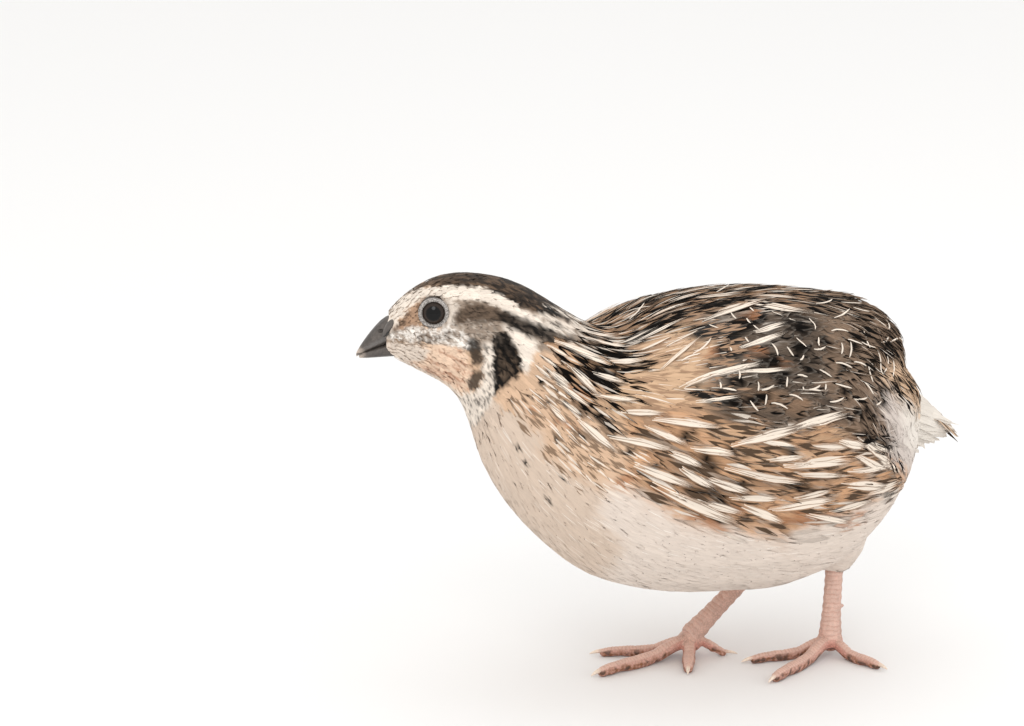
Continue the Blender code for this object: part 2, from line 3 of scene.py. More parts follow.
import bpy
import numpy as np
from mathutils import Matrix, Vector
from mathutils.bvhtree import BVHTree
from mathutils.kdtree import KDTree


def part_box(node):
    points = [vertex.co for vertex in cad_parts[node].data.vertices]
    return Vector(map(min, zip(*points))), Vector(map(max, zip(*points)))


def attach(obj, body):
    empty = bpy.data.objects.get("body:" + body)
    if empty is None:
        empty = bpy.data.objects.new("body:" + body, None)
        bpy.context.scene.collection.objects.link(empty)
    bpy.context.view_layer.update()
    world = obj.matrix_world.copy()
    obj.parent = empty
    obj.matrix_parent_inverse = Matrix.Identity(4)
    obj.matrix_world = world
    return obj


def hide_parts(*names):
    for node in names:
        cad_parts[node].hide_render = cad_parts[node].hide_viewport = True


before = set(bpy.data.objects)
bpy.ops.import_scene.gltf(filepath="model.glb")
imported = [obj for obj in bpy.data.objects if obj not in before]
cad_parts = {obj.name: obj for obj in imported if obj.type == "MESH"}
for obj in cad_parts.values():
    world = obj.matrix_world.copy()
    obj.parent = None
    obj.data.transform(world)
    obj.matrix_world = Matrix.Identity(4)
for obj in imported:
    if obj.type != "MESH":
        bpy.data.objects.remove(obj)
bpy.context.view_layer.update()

# The skin
# One skin lies under the whole coat, over the body, the neck, the head, both thighs and the folded wings. On
# the model it is cast in tinted resin, a coat's depth below the feather tips, and the feathers are set in it.
BODY_FORMS = ("torso", "neck", "head", "thigh_left", "thigh_right", "wing_left", "wing_right")
GAP_CLOSED = 0.0003
SKIN_VOXEL = 0.0009
FACE_DEPTH = 0.00035
COAT_DEPTH = 0.0007


def pick(pieces):
    """Selects these pieces alone and makes the first one active."""
    bpy.ops.object.select_all(action="DESELECT")
    for piece in pieces:
        piece.select_set(True)
    bpy.context.view_layer.objects.active = pieces[0]


def solid_copy(node_name):
    """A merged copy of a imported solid, as the start of a new piece."""
    piece = bpy.data.objects.new(node_name + "_form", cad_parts[node_name].data.copy())
    bpy.context.scene.collection.objects.link(piece)
    piece.data.materials.clear()
    pick([piece])
    bpy.ops.object.mode_set(mode="EDIT")
    bpy.ops.mesh.select_all(action="SELECT")
    bpy.ops.mesh.remove_doubles(threshold=1e-6)
    bpy.ops.object.mode_set(mode="OBJECT")
    return piece


def joined(pieces, name):
    """One object of several, under a new name."""
    pick(pieces)
    bpy.ops.object.join()
    pieces[0].name = pieces[0].data.name = name
    return pieces[0]


def new_form(adder, **settings):
    """A new simple form, selected alone, with its place, turn and scale left in its mesh."""
    bpy.ops.object.select_all(action="DESELECT")
    adder(**settings)
    bpy.ops.object.transform_apply(location=True, rotation=True, scale=True)
    return bpy.context.active_object


def turned_to(direction, axis="Z"):
    """The turn that points an axis of a form along a direction."""
    return Vector(direction).to_track_quat(axis, "Y").to_euler()


def work(piece, kind, **settings):
    """Adds a modifier and applies it at once."""
    modifier = piece.modifiers.new(kind.title(), kind)
    for key, value in settings.items():
        setattr(modifier, key, value)
    bpy.context.view_layer.objects.active = piece
    bpy.ops.object.modifier_apply(modifier=modifier.name)


def smooth_shaded(piece):
    pick([piece])
    bpy.ops.object.shade_smooth()


def points_of(piece):
    places = np.empty(len(piece.data.vertices) * 3, np.float32)
    piece.data.vertices.foreach_get("co", places)
    return places.reshape(-1, 3).astype(float)


def normals_of(piece):
    normals = np.empty(len(piece.data.vertices) * 3, np.float32)
    piece.data.vertex_normals.foreach_get("vector", normals)
    return normals.reshape(-1, 3).astype(float)


def put_points(piece, places):
    piece.data.vertices.foreach_set("co", places.astype(np.float32).ravel())
    piece.data.update()


def ease(value, start, end):
    """0 before start, 1 after end, smooth between."""
    part = np.clip((value - start) / (end - start), 0.0, 1.0)
    return part * part * (3.0 - 2.0 * part)


def unit(vectors):
    """Each direction at a length of 1."""
    return vectors / np.maximum(np.linalg.norm(vectors, axis=-1, keepdims=True), 1e-9)


# Places on the bird are given in millimetres as it would be measured on a bench: ahead of the mount's middle,
# to the bird's left and above the floor. The bird looks towards -X, and its left side is towards -Y.
MIDDLE_AHEAD = 4.5


def bench(ahead, left, up):
    return np.stack([(MIDDLE_AHEAD - ahead) / 1000, -left / 1000 + 0 * ahead, up / 1000 + 0 * ahead], axis=-1)


def bench_values(places):
    return MIDDLE_AHEAD - places[:, 0] * 1000, -places[:, 1] * 1000, places[:, 2] * 1000


# The body's middle line, from the tail's root to the brow: ahead, left, up and how far it is turned, in
# degrees. The head is turned away from the camera, so that its profile is square to it.
MIDDLE_LINE = (
    (-82.0, 0.0, 48.0, 0.0),
    (-62.0, 0.0, 65.0, 0.0),
    (-20.0, 0.0, 60.0, 0.0),
    (13.0, 0.0, 61.5, 0.0),
    (38.5, 0.0, 69.0, 0.0),
    (47.0, 0.0, 78.2, 5.0),
    (52.9, -1.6, 86.1, 15.0),
    (58.9, -4.8, 93.1, 24.0),
    (65.2, -8.1, 96.6, 30.0),
    (81.8, -17.6, 94.6, 30.0),
)
LINE_AHEAD, LINE_LEFT, LINE_UP, LINE_TURN = np.array(MIDDLE_LINE).T
CHEST_LEVEL = 80.0
NAPE_PULL = 0.45


def along_line(places):
    """How far along the middle line each place is. A point of the nape counts as further ahead than one of
    the chest below it."""
    ahead, left, up = bench_values(places)
    pull = NAPE_PULL * (up - CHEST_LEVEL) * ease(ahead, 30.0, 48.0) * (1 - ease(ahead, 60.0, 75.0))
    return ahead + pull


def by_side(places):
    """Each place moved to its mirror place on the bird's left side, which were moved, and the turn there."""
    reach = along_line(places)
    turn = np.radians(np.interp(reach, LINE_AHEAD, LINE_TURN))
    middle = np.interp(reach, LINE_AHEAD, LINE_LEFT)
    station = np.clip(reach, LINE_AHEAD[0], LINE_AHEAD[-1])
    ahead, left, up = bench_values(places)
    aside = (left - middle) * np.cos(turn) + (ahead - station) * np.sin(turn)
    moved = aside < 0
    shift = np.where(moved, -2.0 * aside, 0.0)
    mirrored = bench(ahead + shift * np.sin(turn), left + shift * np.cos(turn), up)
    return mirrored, moved, turn


def on_left_side(places):
    return by_side(places)[0]


# The photograph's view, which the camera at the end of the file takes too. Markings and the lie of the
# feathers are kept as places in the photograph, in its own pixels, and reach the bird through this view.
PHOTO_WIDTH = 1024
PHOTO_HEIGHT = 726
LENS = 135.0
SENSOR = 36.0
PIXELS = PHOTO_WIDTH * LENS / SENSOR
VIEW_TURN = math.radians(-28.0)
VIEW_TILT = math.radians(14.0)
VIEW_DISTANCE = 0.9984
SEEN_PIXEL = (692.0, 437.0)
SEEN_PLACE = bench(2.0, 0.0, 62.0)
VIEW_RIGHT = np.array((math.cos(VIEW_TURN), math.sin(VIEW_TURN), 0.0))
VIEW_AHEAD = np.array((
    -math.sin(VIEW_TURN) * math.cos(VIEW_TILT),
    math.cos(VIEW_TURN) * math.cos(VIEW_TILT),
    -math.sin(VIEW_TILT),
))
VIEW_UP = np.cross(VIEW_RIGHT, VIEW_AHEAD)
VIEW_PLACE = (
    SEEN_PLACE
    - VIEW_AHEAD * VIEW_DISTANCE
    - VIEW_RIGHT * (SEEN_PIXEL[0] - PHOTO_WIDTH / 2) / PIXELS * VIEW_DISTANCE
    + VIEW_UP * (SEEN_PIXEL[1] - PHOTO_HEIGHT / 2) / PIXELS * VIEW_DISTANCE
)


def in_photo(places):
    """The pixel of the photograph at which each place is seen."""
    off = places - VIEW_PLACE
    depth = off @ VIEW_AHEAD
    return np.stack([
        PHOTO_WIDTH / 2 + PIXELS * (off @ VIEW_RIGHT) / depth,
        PHOTO_HEIGHT / 2 - PIXELS * (off @ VIEW_UP) / depth,
    ], axis=-1)


def sight_line(pixel):
    """The direction from the camera through a pixel of the photograph."""
    line = (
        VIEW_AHEAD
        + VIEW_RIGHT * (pixel[0] - PHOTO_WIDTH / 2) / PIXELS
        - VIEW_UP * (pixel[1] - PHOTO_HEIGHT / 2) / PIXELS
    )
    return unit(line)


TAIL_ROOT = bench(-53.0, 0.0, 64.5)
TAIL_END = bench(-75.0, 0.0, 55.5)
TAIL_ROOT_RADIUS = 0.0124
TAIL_END_RADIUS = 0.0020
tail_run = Vector(TAIL_END - TAIL_ROOT)
tail_form = new_form(
    bpy.ops.mesh.primitive_cone_add, vertices=40, radius1=TAIL_ROOT_RADIUS, radius2=TAIL_END_RADIUS,
    depth=tail_run.length, location=(TAIL_ROOT + TAIL_END) / 2, rotation=turned_to(tail_run),
)
skin = joined([solid_copy(name) for name in BODY_FORMS] + [tail_form], "skin")
work(skin, "DISPLACE", strength=GAP_CLOSED, mid_level=0.0)
work(skin, "REMESH", mode="VOXEL", voxel_size=SKIN_VOXEL)
work(skin, "SMOOTH", factor=0.6, iterations=14)
EYE_LIFT = 0.0005
EYE_MIDDLE = {
    side: (np.array(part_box("eye_" + side)[0]) + np.array(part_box("eye_" + side)[1])) / 2 + (0, 0, EYE_LIFT)
    for side in ("left", "right")
}
BILL_ROOT = bench(77.5, -15.0, 96.0)
THIN_COAT_REACH = 0.012
FULL_COAT_REACH = 0.045


def coat_depth_at(places):
    """How deep the coat lies over the skin: thin round the bill, and full from the back of the head on."""
    from_bill = np.linalg.norm(places - BILL_ROOT, axis=1)
    return FACE_DEPTH + (COAT_DEPTH - FACE_DEPTH) * ease(from_bill, THIN_COAT_REACH, FULL_COAT_REACH)


put_points(skin, points_of(skin) - normals_of(skin) * coat_depth_at(points_of(skin))[:, None])

# Behind the rump the photograph shows a notch above the tail, so the skin is drawn in there, on both sides
# alike.
NOTCH = (
    (905, 336, 0), (912, 346, 6), (920, 356, 16), (924, 366, 22), (924, 376, 15), (924, 386, 8),
    (924, 398, 1),
)
NOTCH_REACH = 34.0
notch_edge, notch_level, notch_depth = np.array(NOTCH, float).T
skin_pixels = in_photo(on_left_side(points_of(skin)))
edge = np.interp(skin_pixels[:, 1], notch_level, notch_edge)
depth = np.interp(skin_pixels[:, 1], notch_level, notch_depth)
drawn_in = depth * np.clip((skin_pixels[:, 0] - edge) / NOTCH_REACH + 1, 0, 1.2)
drawn_in *= along_line(points_of(skin)) < 0
put_points(skin, points_of(skin) - drawn_in[:, None] / PIXELS * VIEW_DISTANCE / VIEW_RIGHT[0] * (1, 0, 0))
smooth_shaded(skin)
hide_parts("torso", "neck", "head", "thigh_left", "thigh_right")
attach(skin, "root")

# The markings
# A wild-type quail: cream brow, black and white neck bars, buff throat, cream breast, and back and flanks
# streaked with cream over black and rufous. Colours are measured; the places are where the photograph
# shows each marking.


def tint(red, green, blue):
    """A colour named in the 0 to 255 values of a screen, as the linear value that a shader takes."""
    shade = np.array((red, green, blue)) / 255.0
    return np.where(shade <= 0.04045, shade / 12.92, ((shade + 0.055) / 1.055) ** 2.4)


CREAM = tint(238, 225, 211)
WHITE = tint(246, 238, 229)
BLACK = tint(17, 13, 10)
CROWN_BROWN = tint(92, 74, 59)
EAR_BROWN = tint(140, 116, 95)
EAR_GREY = tint(158, 141, 126)
LORE_RUFOUS = tint(172, 138, 112)
THROAT_BUFF = tint(236, 206, 180)
THROAT_STREAK = tint(176, 126, 100)
CHIN_GREY = tint(226, 210, 195)
BREAST_CREAM = tint(214, 194, 176)
BELLY_CREAM = tint(226, 212, 200)
CHEST_BUFF = tint(214, 181, 152)
MANTLE_BROWN = tint(164, 132, 106)
NAPE_BUFF = tint(200, 162, 130)
SHOULDER_BUFF = tint(206, 172, 140)
COVERT_GREY = tint(101, 88, 77)
RUFOUS = tint(176, 122, 86)
FLANK_CINNAMON = tint(204, 160, 124)
RUMP_BROWN = tint(138, 116, 98)
PLUME_LILAC = tint(206, 194, 186)
TAIL_BROWN = tint(218, 186, 156)
TAIL_WHITE = tint(232, 224, 214)


def inside(pixels, outline, soft):
    """1 inside an outline in the photograph, 0 outside, over an edge that is `soft` pixels wide."""
    nearest = np.full(len(pixels), 1e9)
    within = np.zeros(len(pixels), bool)
    x, y = pixels[:, 0], pixels[:, 1]
    for (ax, ay), (bx, by) in zip(outline, outline[1:] + outline[:1]):
        across, down = bx - ax, by - ay
        part = np.clip(((x - ax) * across + (y - ay) * down) / (across * across + down * down), 0, 1)
        nearest = np.minimum(nearest, np.hypot(x - ax - part * across, y - ay - part * down))
        crosses = (ay > y) != (by > y)
        with np.errstate(divide="ignore", invalid="ignore"):
            edge = ax + (y - ay) * across / (down if down else 1e-9)
        within ^= crosses & (x < edge)
    signed = np.where(within, nearest, -nearest)
    return ease(signed, -soft / 2, soft / 2)


def on_stroke(pixels, start, end, half_width, soft=1.5):
    """1 on a stroke between two pixels, thinning to a point at both of its ends."""
    ax, ay = start
    across, down = end[0] - ax, end[1] - ay
    part = ((pixels[:, 0] - ax) * across + (pixels[:, 1] - ay) * down) / (across * across + down * down)
    held = np.clip(part, 0, 1)
    away = np.hypot(pixels[:, 0] - ax - held * across, pixels[:, 1] - ay - held * down)
    width = half_width * np.sqrt(np.clip(4 * held * (1 - held), 0, 1))
    return 1 - ease(away, width - soft / 2, width + soft / 2)


def lay(colours, tone, mask):
    """Lays a tone over the colours, as far as the mask says at each place."""
    colours += (tone - colours) * np.clip(mask, 0, 1)[:, None]


def lay_strokes(colours, pixels, strokes, tone, share):
    """Lays a tone along strokes: start, end and half width in the photograph, and for some their own tone."""
    for start_x, start_y, end_x, end_y, half, *own in strokes:
        mask = on_stroke(pixels, (start_x, start_y), (end_x, end_y), half)
        lay(colours, own[0] if own else tone, mask * share)


def mottle(places, size, seed):
    """Smooth noise from -1 to 1 with patches about `size` metres across, the same for the same seed."""
    draw = np.random.default_rng(seed)
    total = np.zeros(len(places))
    for _ in range(10):
        wave = draw.normal(size=3)
        wave *= (2 * math.pi / size) * (0.6 + 0.9 * draw.random()) / np.linalg.norm(wave)
        total += np.sin(places @ wave + draw.random() * 2 * math.pi)
    return np.clip(total / 3.2, -1, 1)


FOREHEAD = (
    (380, 322), (396, 300), (412, 286), (434, 276), (452, 271), (475, 271), (500, 275), (530, 286),
    (556, 301), (574, 315), (556, 318), (540, 315), (515, 304), (499, 293), (484, 287), (462, 286),
    (440, 286), (420, 288), (402, 296), (388, 314),
)
BROW = (
    (385, 319), (400, 297), (418, 288.5), (440, 286.5), (462, 286), (484, 287.5), (499, 293), (516, 305),
    (541, 320), (566, 330), (562, 334), (534, 326), (511, 314), (497, 306), (484, 301.5), (468, 300.5),
    (450, 300), (436, 295.5), (424, 298), (411, 307), (397, 321), (389, 328),
)
LORE = (
    (391, 330), (400, 320), (412, 307), (424, 299), (424, 306), (421, 316), (420, 326), (410, 328),
    (400, 330),
)
LORE_DARK = ((386, 336), (396, 326), (404, 317), (409, 311), (411, 314), (405, 322), (396, 331), (389, 337))
UNDER_EYE = (
    (388, 336), (400, 328), (414, 325), (424, 327), (440, 330), (452, 322), (460, 328), (472, 338),
    (480, 348), (466, 350), (450, 344), (430, 344), (412, 342), (396, 341),
)
EAR_DARK = (
    (452, 318), (458, 309), (470, 303), (484, 303), (496, 308), (508, 315), (516, 324), (500, 322),
    (484, 320), (468, 322), (456, 325),
)
BEHIND_EYE = ((444, 300), (452, 300), (458, 304), (459, 314), (455, 323), (446, 322), (450, 311))
EAR_PALE = (
    (456, 325), (468, 321), (484, 320), (500, 323), (506, 332), (496, 342), (482, 342), (470, 338),
    (461, 332),
)
MOUSTACHE = ((414, 338), (424, 333), (440, 334), (456, 331), (462, 336), (450, 341), (436, 342), (420, 345))
THROAT = (
    (401, 356), (398, 346), (412, 343), (430, 346), (446, 344), (458, 348), (466, 352), (468, 362),
    (472, 374), (474, 384), (468, 390), (455, 396), (430, 380), (410, 364),
)
THROAT_EDGE = (
    (384, 358), (400, 357), (418, 366), (436, 376), (450, 386), (462, 396), (458, 402), (440, 388),
    (420, 374), (400, 362),
)
BROKEN_BAR = ((467, 340), (476, 338), (481, 346), (482, 358), (480, 366), (473, 362), (469, 352))
BROKEN_BAR_LOW = ((471, 374), (478, 370), (483, 374), (481, 384), (475, 391), (470, 388), (467, 382))
WHITE_BAND = (
    (482, 342), (490, 340), (494, 352), (496, 372), (496, 392), (490, 404), (478, 424), (464, 430),
    (454, 414), (450, 400), (462, 394), (474, 392), (483, 384), (482, 366), (482, 350),
)
MAIN_BAR = (
    (491, 336), (503, 332), (515, 339), (521, 354), (524, 370), (514, 380), (503, 388), (494, 394),
    (493, 376), (494, 356),
)
CRESCENT = (
    (503, 326), (511, 328), (524, 334), (540, 343), (535, 352), (531, 366), (528, 374), (522, 366),
    (519, 352), (512, 340),
)
NAPE_BAR = (
    (494, 312), (508, 311), (524, 318), (540, 324), (552, 329), (560, 337), (563, 345), (552, 344),
    (545, 342), (530, 337), (514, 330), (504, 324),
)
CHIN = (
    (378, 352), (384, 343), (400, 342), (418, 345), (430, 350), (424, 361), (410, 362), (396, 358),
    (384, 359),
)
THROAT_LINES = (
    (404, 360, 474, 392, 0.8), (412, 361, 470, 386, 0.7), (430, 366, 476, 386, 0.9),
    (440, 362, 476, 378, 0.9), (448, 356, 474, 368, 0.9), (455, 349, 470, 357, 0.8),
    (436, 350, 452, 357, 0.7), (424, 358, 448, 368, 0.8), (452, 364, 474, 374, 0.7),
    (444, 372, 470, 384, 0.8),
)
EAR_LINES = (
    (455, 318, 474, 303, 1.2), (457, 320, 488, 303, 1.3), (459, 322, 500, 309, 1.3),
    (461, 325, 505, 317, 1.2), (463, 329, 500, 327, 1.0), (466, 333, 492, 338, 1.0),
    (472, 325, 498, 321, 1.0), (468, 309, 492, 306, 1.0), (468, 336, 486, 345, 0.9),
)
BAR_FLECKS = (
    (492, 393, 484, 404, 1.6), (481, 398, 478, 404, 1.2), (488, 362, 487, 372, 0.9),
    (489, 346, 486, 353, 1.0),
)
NAPE_LINES = (
    (528, 297, 594, 326, 2.4, BLACK), (540, 307, 600, 334, 1.6, BLACK), (546, 321, 606, 346, 1.8, BLACK),
    (556, 333, 600, 352, 1.6, BLACK), (545, 304, 592, 325, 1.0, CREAM), (538, 315, 600, 336, 2.3, CREAM),
    (556, 327, 604, 343, 1.4, CREAM), (562, 340, 602, 356, 1.4, CREAM), (570, 322, 612, 336, 1.2, CREAM),
    (575, 329, 618, 341, 1.3, BLACK),
)
MOUTH_LINE = ((384, 341.5, 404, 341.5, 1.7), (400, 341.5, 429, 347, 1.0))


def face_colours(places):
    """The colours of the head and the upper neck, at places already moved to the left side."""
    pixels = in_photo(places)
    fine = mottle(places, 0.0016, 11)
    broad = mottle(places, 0.005, 12)
    pixels = pixels + np.stack([fine, mottle(places, 0.0016, 13)], axis=-1) * 1.4
    colour = np.tile(CHEST_BUFF, (len(places), 1))
    lay(colour, EAR_GREY, inside(pixels, ((440, 260), (640, 260), (640, 350), (440, 350)), 3))
    lay(colour, CHIN_GREY, inside(pixels, ((370, 310), (398, 310), (398, 350), (370, 350)), 3))
    lay(colour, THROAT_BUFF, inside(pixels, THROAT, 4))
    lay(colour, CHIN_GREY, inside(pixels, CHIN, 5))
    lay(colour, CREAM, inside(pixels, THROAT_EDGE, 4) * 0.8)
    lay_strokes(colour, pixels, THROAT_LINES, THROAT_STREAK, 0.75)
    lay(colour, BREAST_CREAM, inside(pixels, ((462, 402), (484, 396), (500, 404), (512, 440), (470, 450)), 5))
    lay(colour, CREAM, inside(pixels, WHITE_BAND, 3))
    lay(colour, BLACK, inside(pixels, WHITE_BAND, 3) * ease(mottle(places, 0.0016, 14), 0.5, 0.75) * 0.7)
    lay(colour, WHITE, inside(pixels, UNDER_EYE, 4))
    lay(colour, EAR_BROWN, inside(pixels, UNDER_EYE, 4) * ease(mottle(places, 0.0014, 15), 0.1, 0.5) * 0.7)
    lay(colour, EAR_GREY, inside(pixels, EAR_PALE, 4) * 0.9)
    lay(colour, CREAM, inside(pixels, BEHIND_EYE, 3) * 0.75)
    lay(colour, CROWN_BROWN, inside(pixels, EAR_DARK, 5) * 0.85)
    lay(colour, CREAM, inside(pixels, EAR_PALE, 4) * ease(mottle(places, 0.0010, 16), 0.35, 0.8) * 0.4)
    lay_strokes(colour, pixels, EAR_LINES, BLACK, 0.5)
    lay(colour, CROWN_BROWN, inside(pixels, MOUSTACHE, 3) * (0.55 + 0.5 * fine))
    lay_strokes(colour, pixels, MOUTH_LINE, EAR_BROWN, 0.9)
    lay(colour, CREAM, inside(pixels, BROW, 2.5))
    lay(colour, LORE_RUFOUS, inside(pixels, LORE, 4) * 0.9)
    lay(colour, BLACK, inside(pixels, LORE_DARK, 3) * 0.75)
    lay(colour, CROWN_BROWN * (1.0 + 0.25 * broad[:, None]), inside(pixels, FOREHEAD, 3))
    crown_dark = ease(pixels[:, 0], 400, 500) * ease(broad + fine, -0.3, 0.3)
    lay(colour, BLACK, inside(pixels, FOREHEAD, 3) * crown_dark * 0.9)
    lay(colour, BLACK, inside(pixels, MAIN_BAR, 3) * (1.05 + 0.2 * fine))
    lay(colour, CREAM, inside(pixels, CRESCENT, 3))
    lay(colour, BLACK, inside(pixels, NAPE_BAR, 4) * (0.9 + 0.2 * fine))
    lay(colour, BLACK, inside(pixels, BROKEN_BAR, 3) * 0.9)
    lay(colour, BLACK, inside(pixels, BROKEN_BAR_LOW, 3) * 0.85)
    lay_strokes(colour, pixels, BAR_FLECKS, BLACK, 0.8)
    lay_strokes(colour, pixels, NAPE_LINES, None, 0.85)
    return colour


# Where each kind of body feather grows, by places in the photograph: a feather takes the kind of the nearest
# one.
COAT_KINDS = {
    "breast": (
        (474, 404), (488, 402), (500, 408), (481, 412), (492, 414), (505, 418), (520, 428), (530, 442),
        (478, 420), (484, 450), (498, 420), (512, 436), (500, 480), (520, 500), (545, 520), (505, 430),
        (520, 455), (545, 475), (575, 500), (560, 540), (600, 540),
    ),
    "belly": (
        (620, 520), (660, 540), (700, 560), (640, 570), (760, 560), (700, 585), (820, 545), (860, 530),
        (890, 505), (780, 580), (740, 545), (836, 531), (802, 537), (868, 519),
    ),
    "chest": (
        (506, 396), (525, 398), (545, 385), (536, 420), (555, 410), (575, 440), (555, 445), (590, 460),
        (600, 430), (620, 445),
    ),
    "nape": (
        (560, 360), (590, 350), (580, 375), (610, 365), (560, 335), (585, 335), (605, 340), (600, 385),
        (570, 395),
    ),
    "mantle": (
        (600, 318), (630, 308), (660, 300), (700, 292), (740, 290), (780, 288), (650, 322), (690, 308),
        (740, 303), (790, 300), (620, 328),
    ),
    "shoulder": (
        (630, 355), (655, 350), (680, 345), (650, 375), (680, 365), (620, 395), (650, 400), (690, 385),
        (700, 350), (670, 335),
    ),
    "covert": (
        (725, 330), (750, 325), (780, 322), (730, 360), (765, 350), (795, 345), (725, 390), (760, 385),
        (790, 380), (815, 370), (740, 410), (780, 410), (810, 400), (800, 320), (825, 400), (705, 330),
    ),
    "flank": (
        (640, 430), (680, 425), (715, 435), (750, 440), (650, 460), (690, 460), (720, 465), (760, 470),
        (690, 490), (730, 500), (770, 495), (800, 450), (830, 440), (800, 480), (840, 470), (820, 505),
        (860, 480), (870, 460), (750, 515), (790, 520), (885, 475), (845, 500),
    ),
    "rump": (
        (830, 305), (860, 310), (885, 325), (850, 335), (880, 350), (840, 360), (865, 380), (895, 350),
        (850, 400), (870, 410), (835, 385), (845, 420), (874, 425), (878, 440),
    ),
    "plume": ((888, 402), (893, 418), (900, 436), (903, 452)),
    "tail": ((900, 378), (908, 390), (916, 398), (925, 408), (934, 416)),
    "undertail": ((908, 410), (914, 425), (925, 425), (936, 430), (912, 440)),
}

# The lie of the coat
# Every feather points away from the bill and lies back along the body, down over the breast, and turns up
# over the wing and down again at the rump. The lie is set by strokes: a place in the photograph and the way a
# feather lies there.
LIE = (
    (395, 306, -48), (420, 288, -25), (455, 279, -3), (500, 283, 16), (550, 304, 27), (404, 318, -38),
    (440, 291, -12), (480, 295, 6), (520, 312, 26), (550, 330, 30), (415, 334, 2), (445, 336, 12),
    (465, 310, -8), (490, 312, 10), (475, 330, 16), (500, 328, 22), (405, 350, 20), (430, 362, 34),
    (455, 372, 36), (440, 384, 34), (474, 350, 62), (488, 372, 72), (508, 355, 62), (530, 340, 36),
    (540, 360, 42), (470, 405, 78), (482, 440, 74), (500, 430, 62), (500, 480, 62), (530, 440, 52),
    (560, 470, 42), (545, 520, 46), (600, 520, 30), (600, 560, 28), (660, 560, 14), (700, 530, 18),
    (720, 575, 4), (780, 560, -4), (840, 550, -12), (890, 500, -30), (540, 400, 50), (560, 380, 40),
    (590, 395, 30), (580, 430, 40), (560, 345, 30), (590, 340, 14), (585, 328, 12), (605, 322, -12),
    (630, 310, -22), (660, 300, -16), (700, 293, -6), (750, 289, 0), (800, 292, 8), (840, 300, 22),
    (620, 350, 0), (650, 340, -22), (690, 335, -26), (650, 368, -8), (700, 370, -18), (610, 375, 14),
    (640, 395, 6), (720, 318, -18), (745, 308, -8), (790, 316, 8), (760, 340, -12), (735, 360, -14),
    (780, 362, -2), (805, 340, 24), (760, 388, 2), (810, 388, 12), (830, 345, 42), (850, 318, 32),
    (880, 320, 50), (893, 350, 70), (862, 370, 62), (842, 400, 58), (875, 405, 64), (895, 425, 72),
    (905, 450, 78), (620, 425, 24), (650, 432, 20), (700, 428, 8), (640, 452, 30), (685, 458, 26),
    (700, 480, 27), (740, 484, 16), (690, 506, 28), (732, 517, 24), (770, 500, 5), (780, 472, 8),
    (800, 446, -18), (832, 430, -22), (835, 465, -4), (852, 492, -8), (872, 498, -16), (800, 516, -8),
    (842, 516, -12), (885, 462, 50), (915, 405, 44), (925, 414, 40), (932, 424, 28), (922, 432, 6),
    (915, 441, -18), (938, 426, 20), (905, 395, 58),
)
LIE_REACH = 0.006
skin_tree = BVHTree.FromObject(skin, bpy.context.evaluated_depsgraph_get())


def seen_on_skin(pixel):
    """The place on the skin that the photograph shows at a pixel, or none, and the skin's normal there."""
    place, normal, _, _ = skin_tree.ray_cast(Vector(VIEW_PLACE), Vector(sight_line(pixel)))
    return (np.array(place), np.array(normal)) if place is not None else (None, None)


def laid_along(pixel, degrees):
    """Where a stroke of the lie starts on the skin, and its direction there, along the surface."""
    place, normal = seen_on_skin(pixel)
    if place is None:
        return None, None
    turn = math.radians(degrees)
    flat = VIEW_RIGHT * math.cos(turn) - VIEW_UP * math.sin(turn)
    facing = min(normal @ VIEW_AHEAD, -0.25)
    direction = flat - VIEW_AHEAD * (flat @ normal) / facing
    direction -= normal * (direction @ normal)
    return place, unit(direction)


strokes = [laid_along((x, y), degrees) for x, y, degrees in LIE]
strokes = [(place, direction) for place, direction in strokes if place is not None]
stroke_places = np.array([place for place, _ in strokes])
stroke_directions = np.array([direction for _, direction in strokes])
line_places = bench(LINE_AHEAD, LINE_LEFT, LINE_UP)
line_directions = unit(-np.gradient(line_places, axis=0))
UNSEEN_PULL = 0.15
STRAIGHT_REACH = 10.0
AT_ONCE = 4000


def lie_at(places, normals):
    """The way the coat lies at each place, along the surface."""
    left_places, moved, turn = by_side(places)
    guide = np.zeros_like(places)
    for start in range(0, len(places), AT_ONCE):
        part = slice(start, start + AT_ONCE)
        apart = ((left_places[part, None, :] - stroke_places[None]) ** 2).sum(-1)
        pull = 1.0 / (apart + LIE_REACH ** 2) ** 1.5
        guide[part] = (pull[:, :, None] * stroke_directions[None]).sum(1) / pull.sum(1)[:, None]
    reach = along_line(places)
    back = np.stack([np.interp(reach, LINE_AHEAD, line_directions[:, axis]) for axis in range(3)], axis=-1)
    side = np.stack([-np.sin(turn), -np.cos(turn), 0 * turn], axis=-1)
    guide = np.where(moved[:, None], guide - 2 * (guide * side).sum(1)[:, None] * side, guide)
    guide = guide + UNSEEN_PULL * back
    _, left, _ = bench_values(left_places)
    from_middle = left - np.interp(along_line(left_places), LINE_AHEAD, LINE_LEFT)
    sideways = (guide * side).sum(1) * (1 - ease(from_middle, 1.0, STRAIGHT_REACH))
    guide = guide - side * sideways[:, None]
    guide -= normals * (guide * normals).sum(1)[:, None]
    return unit(guide)


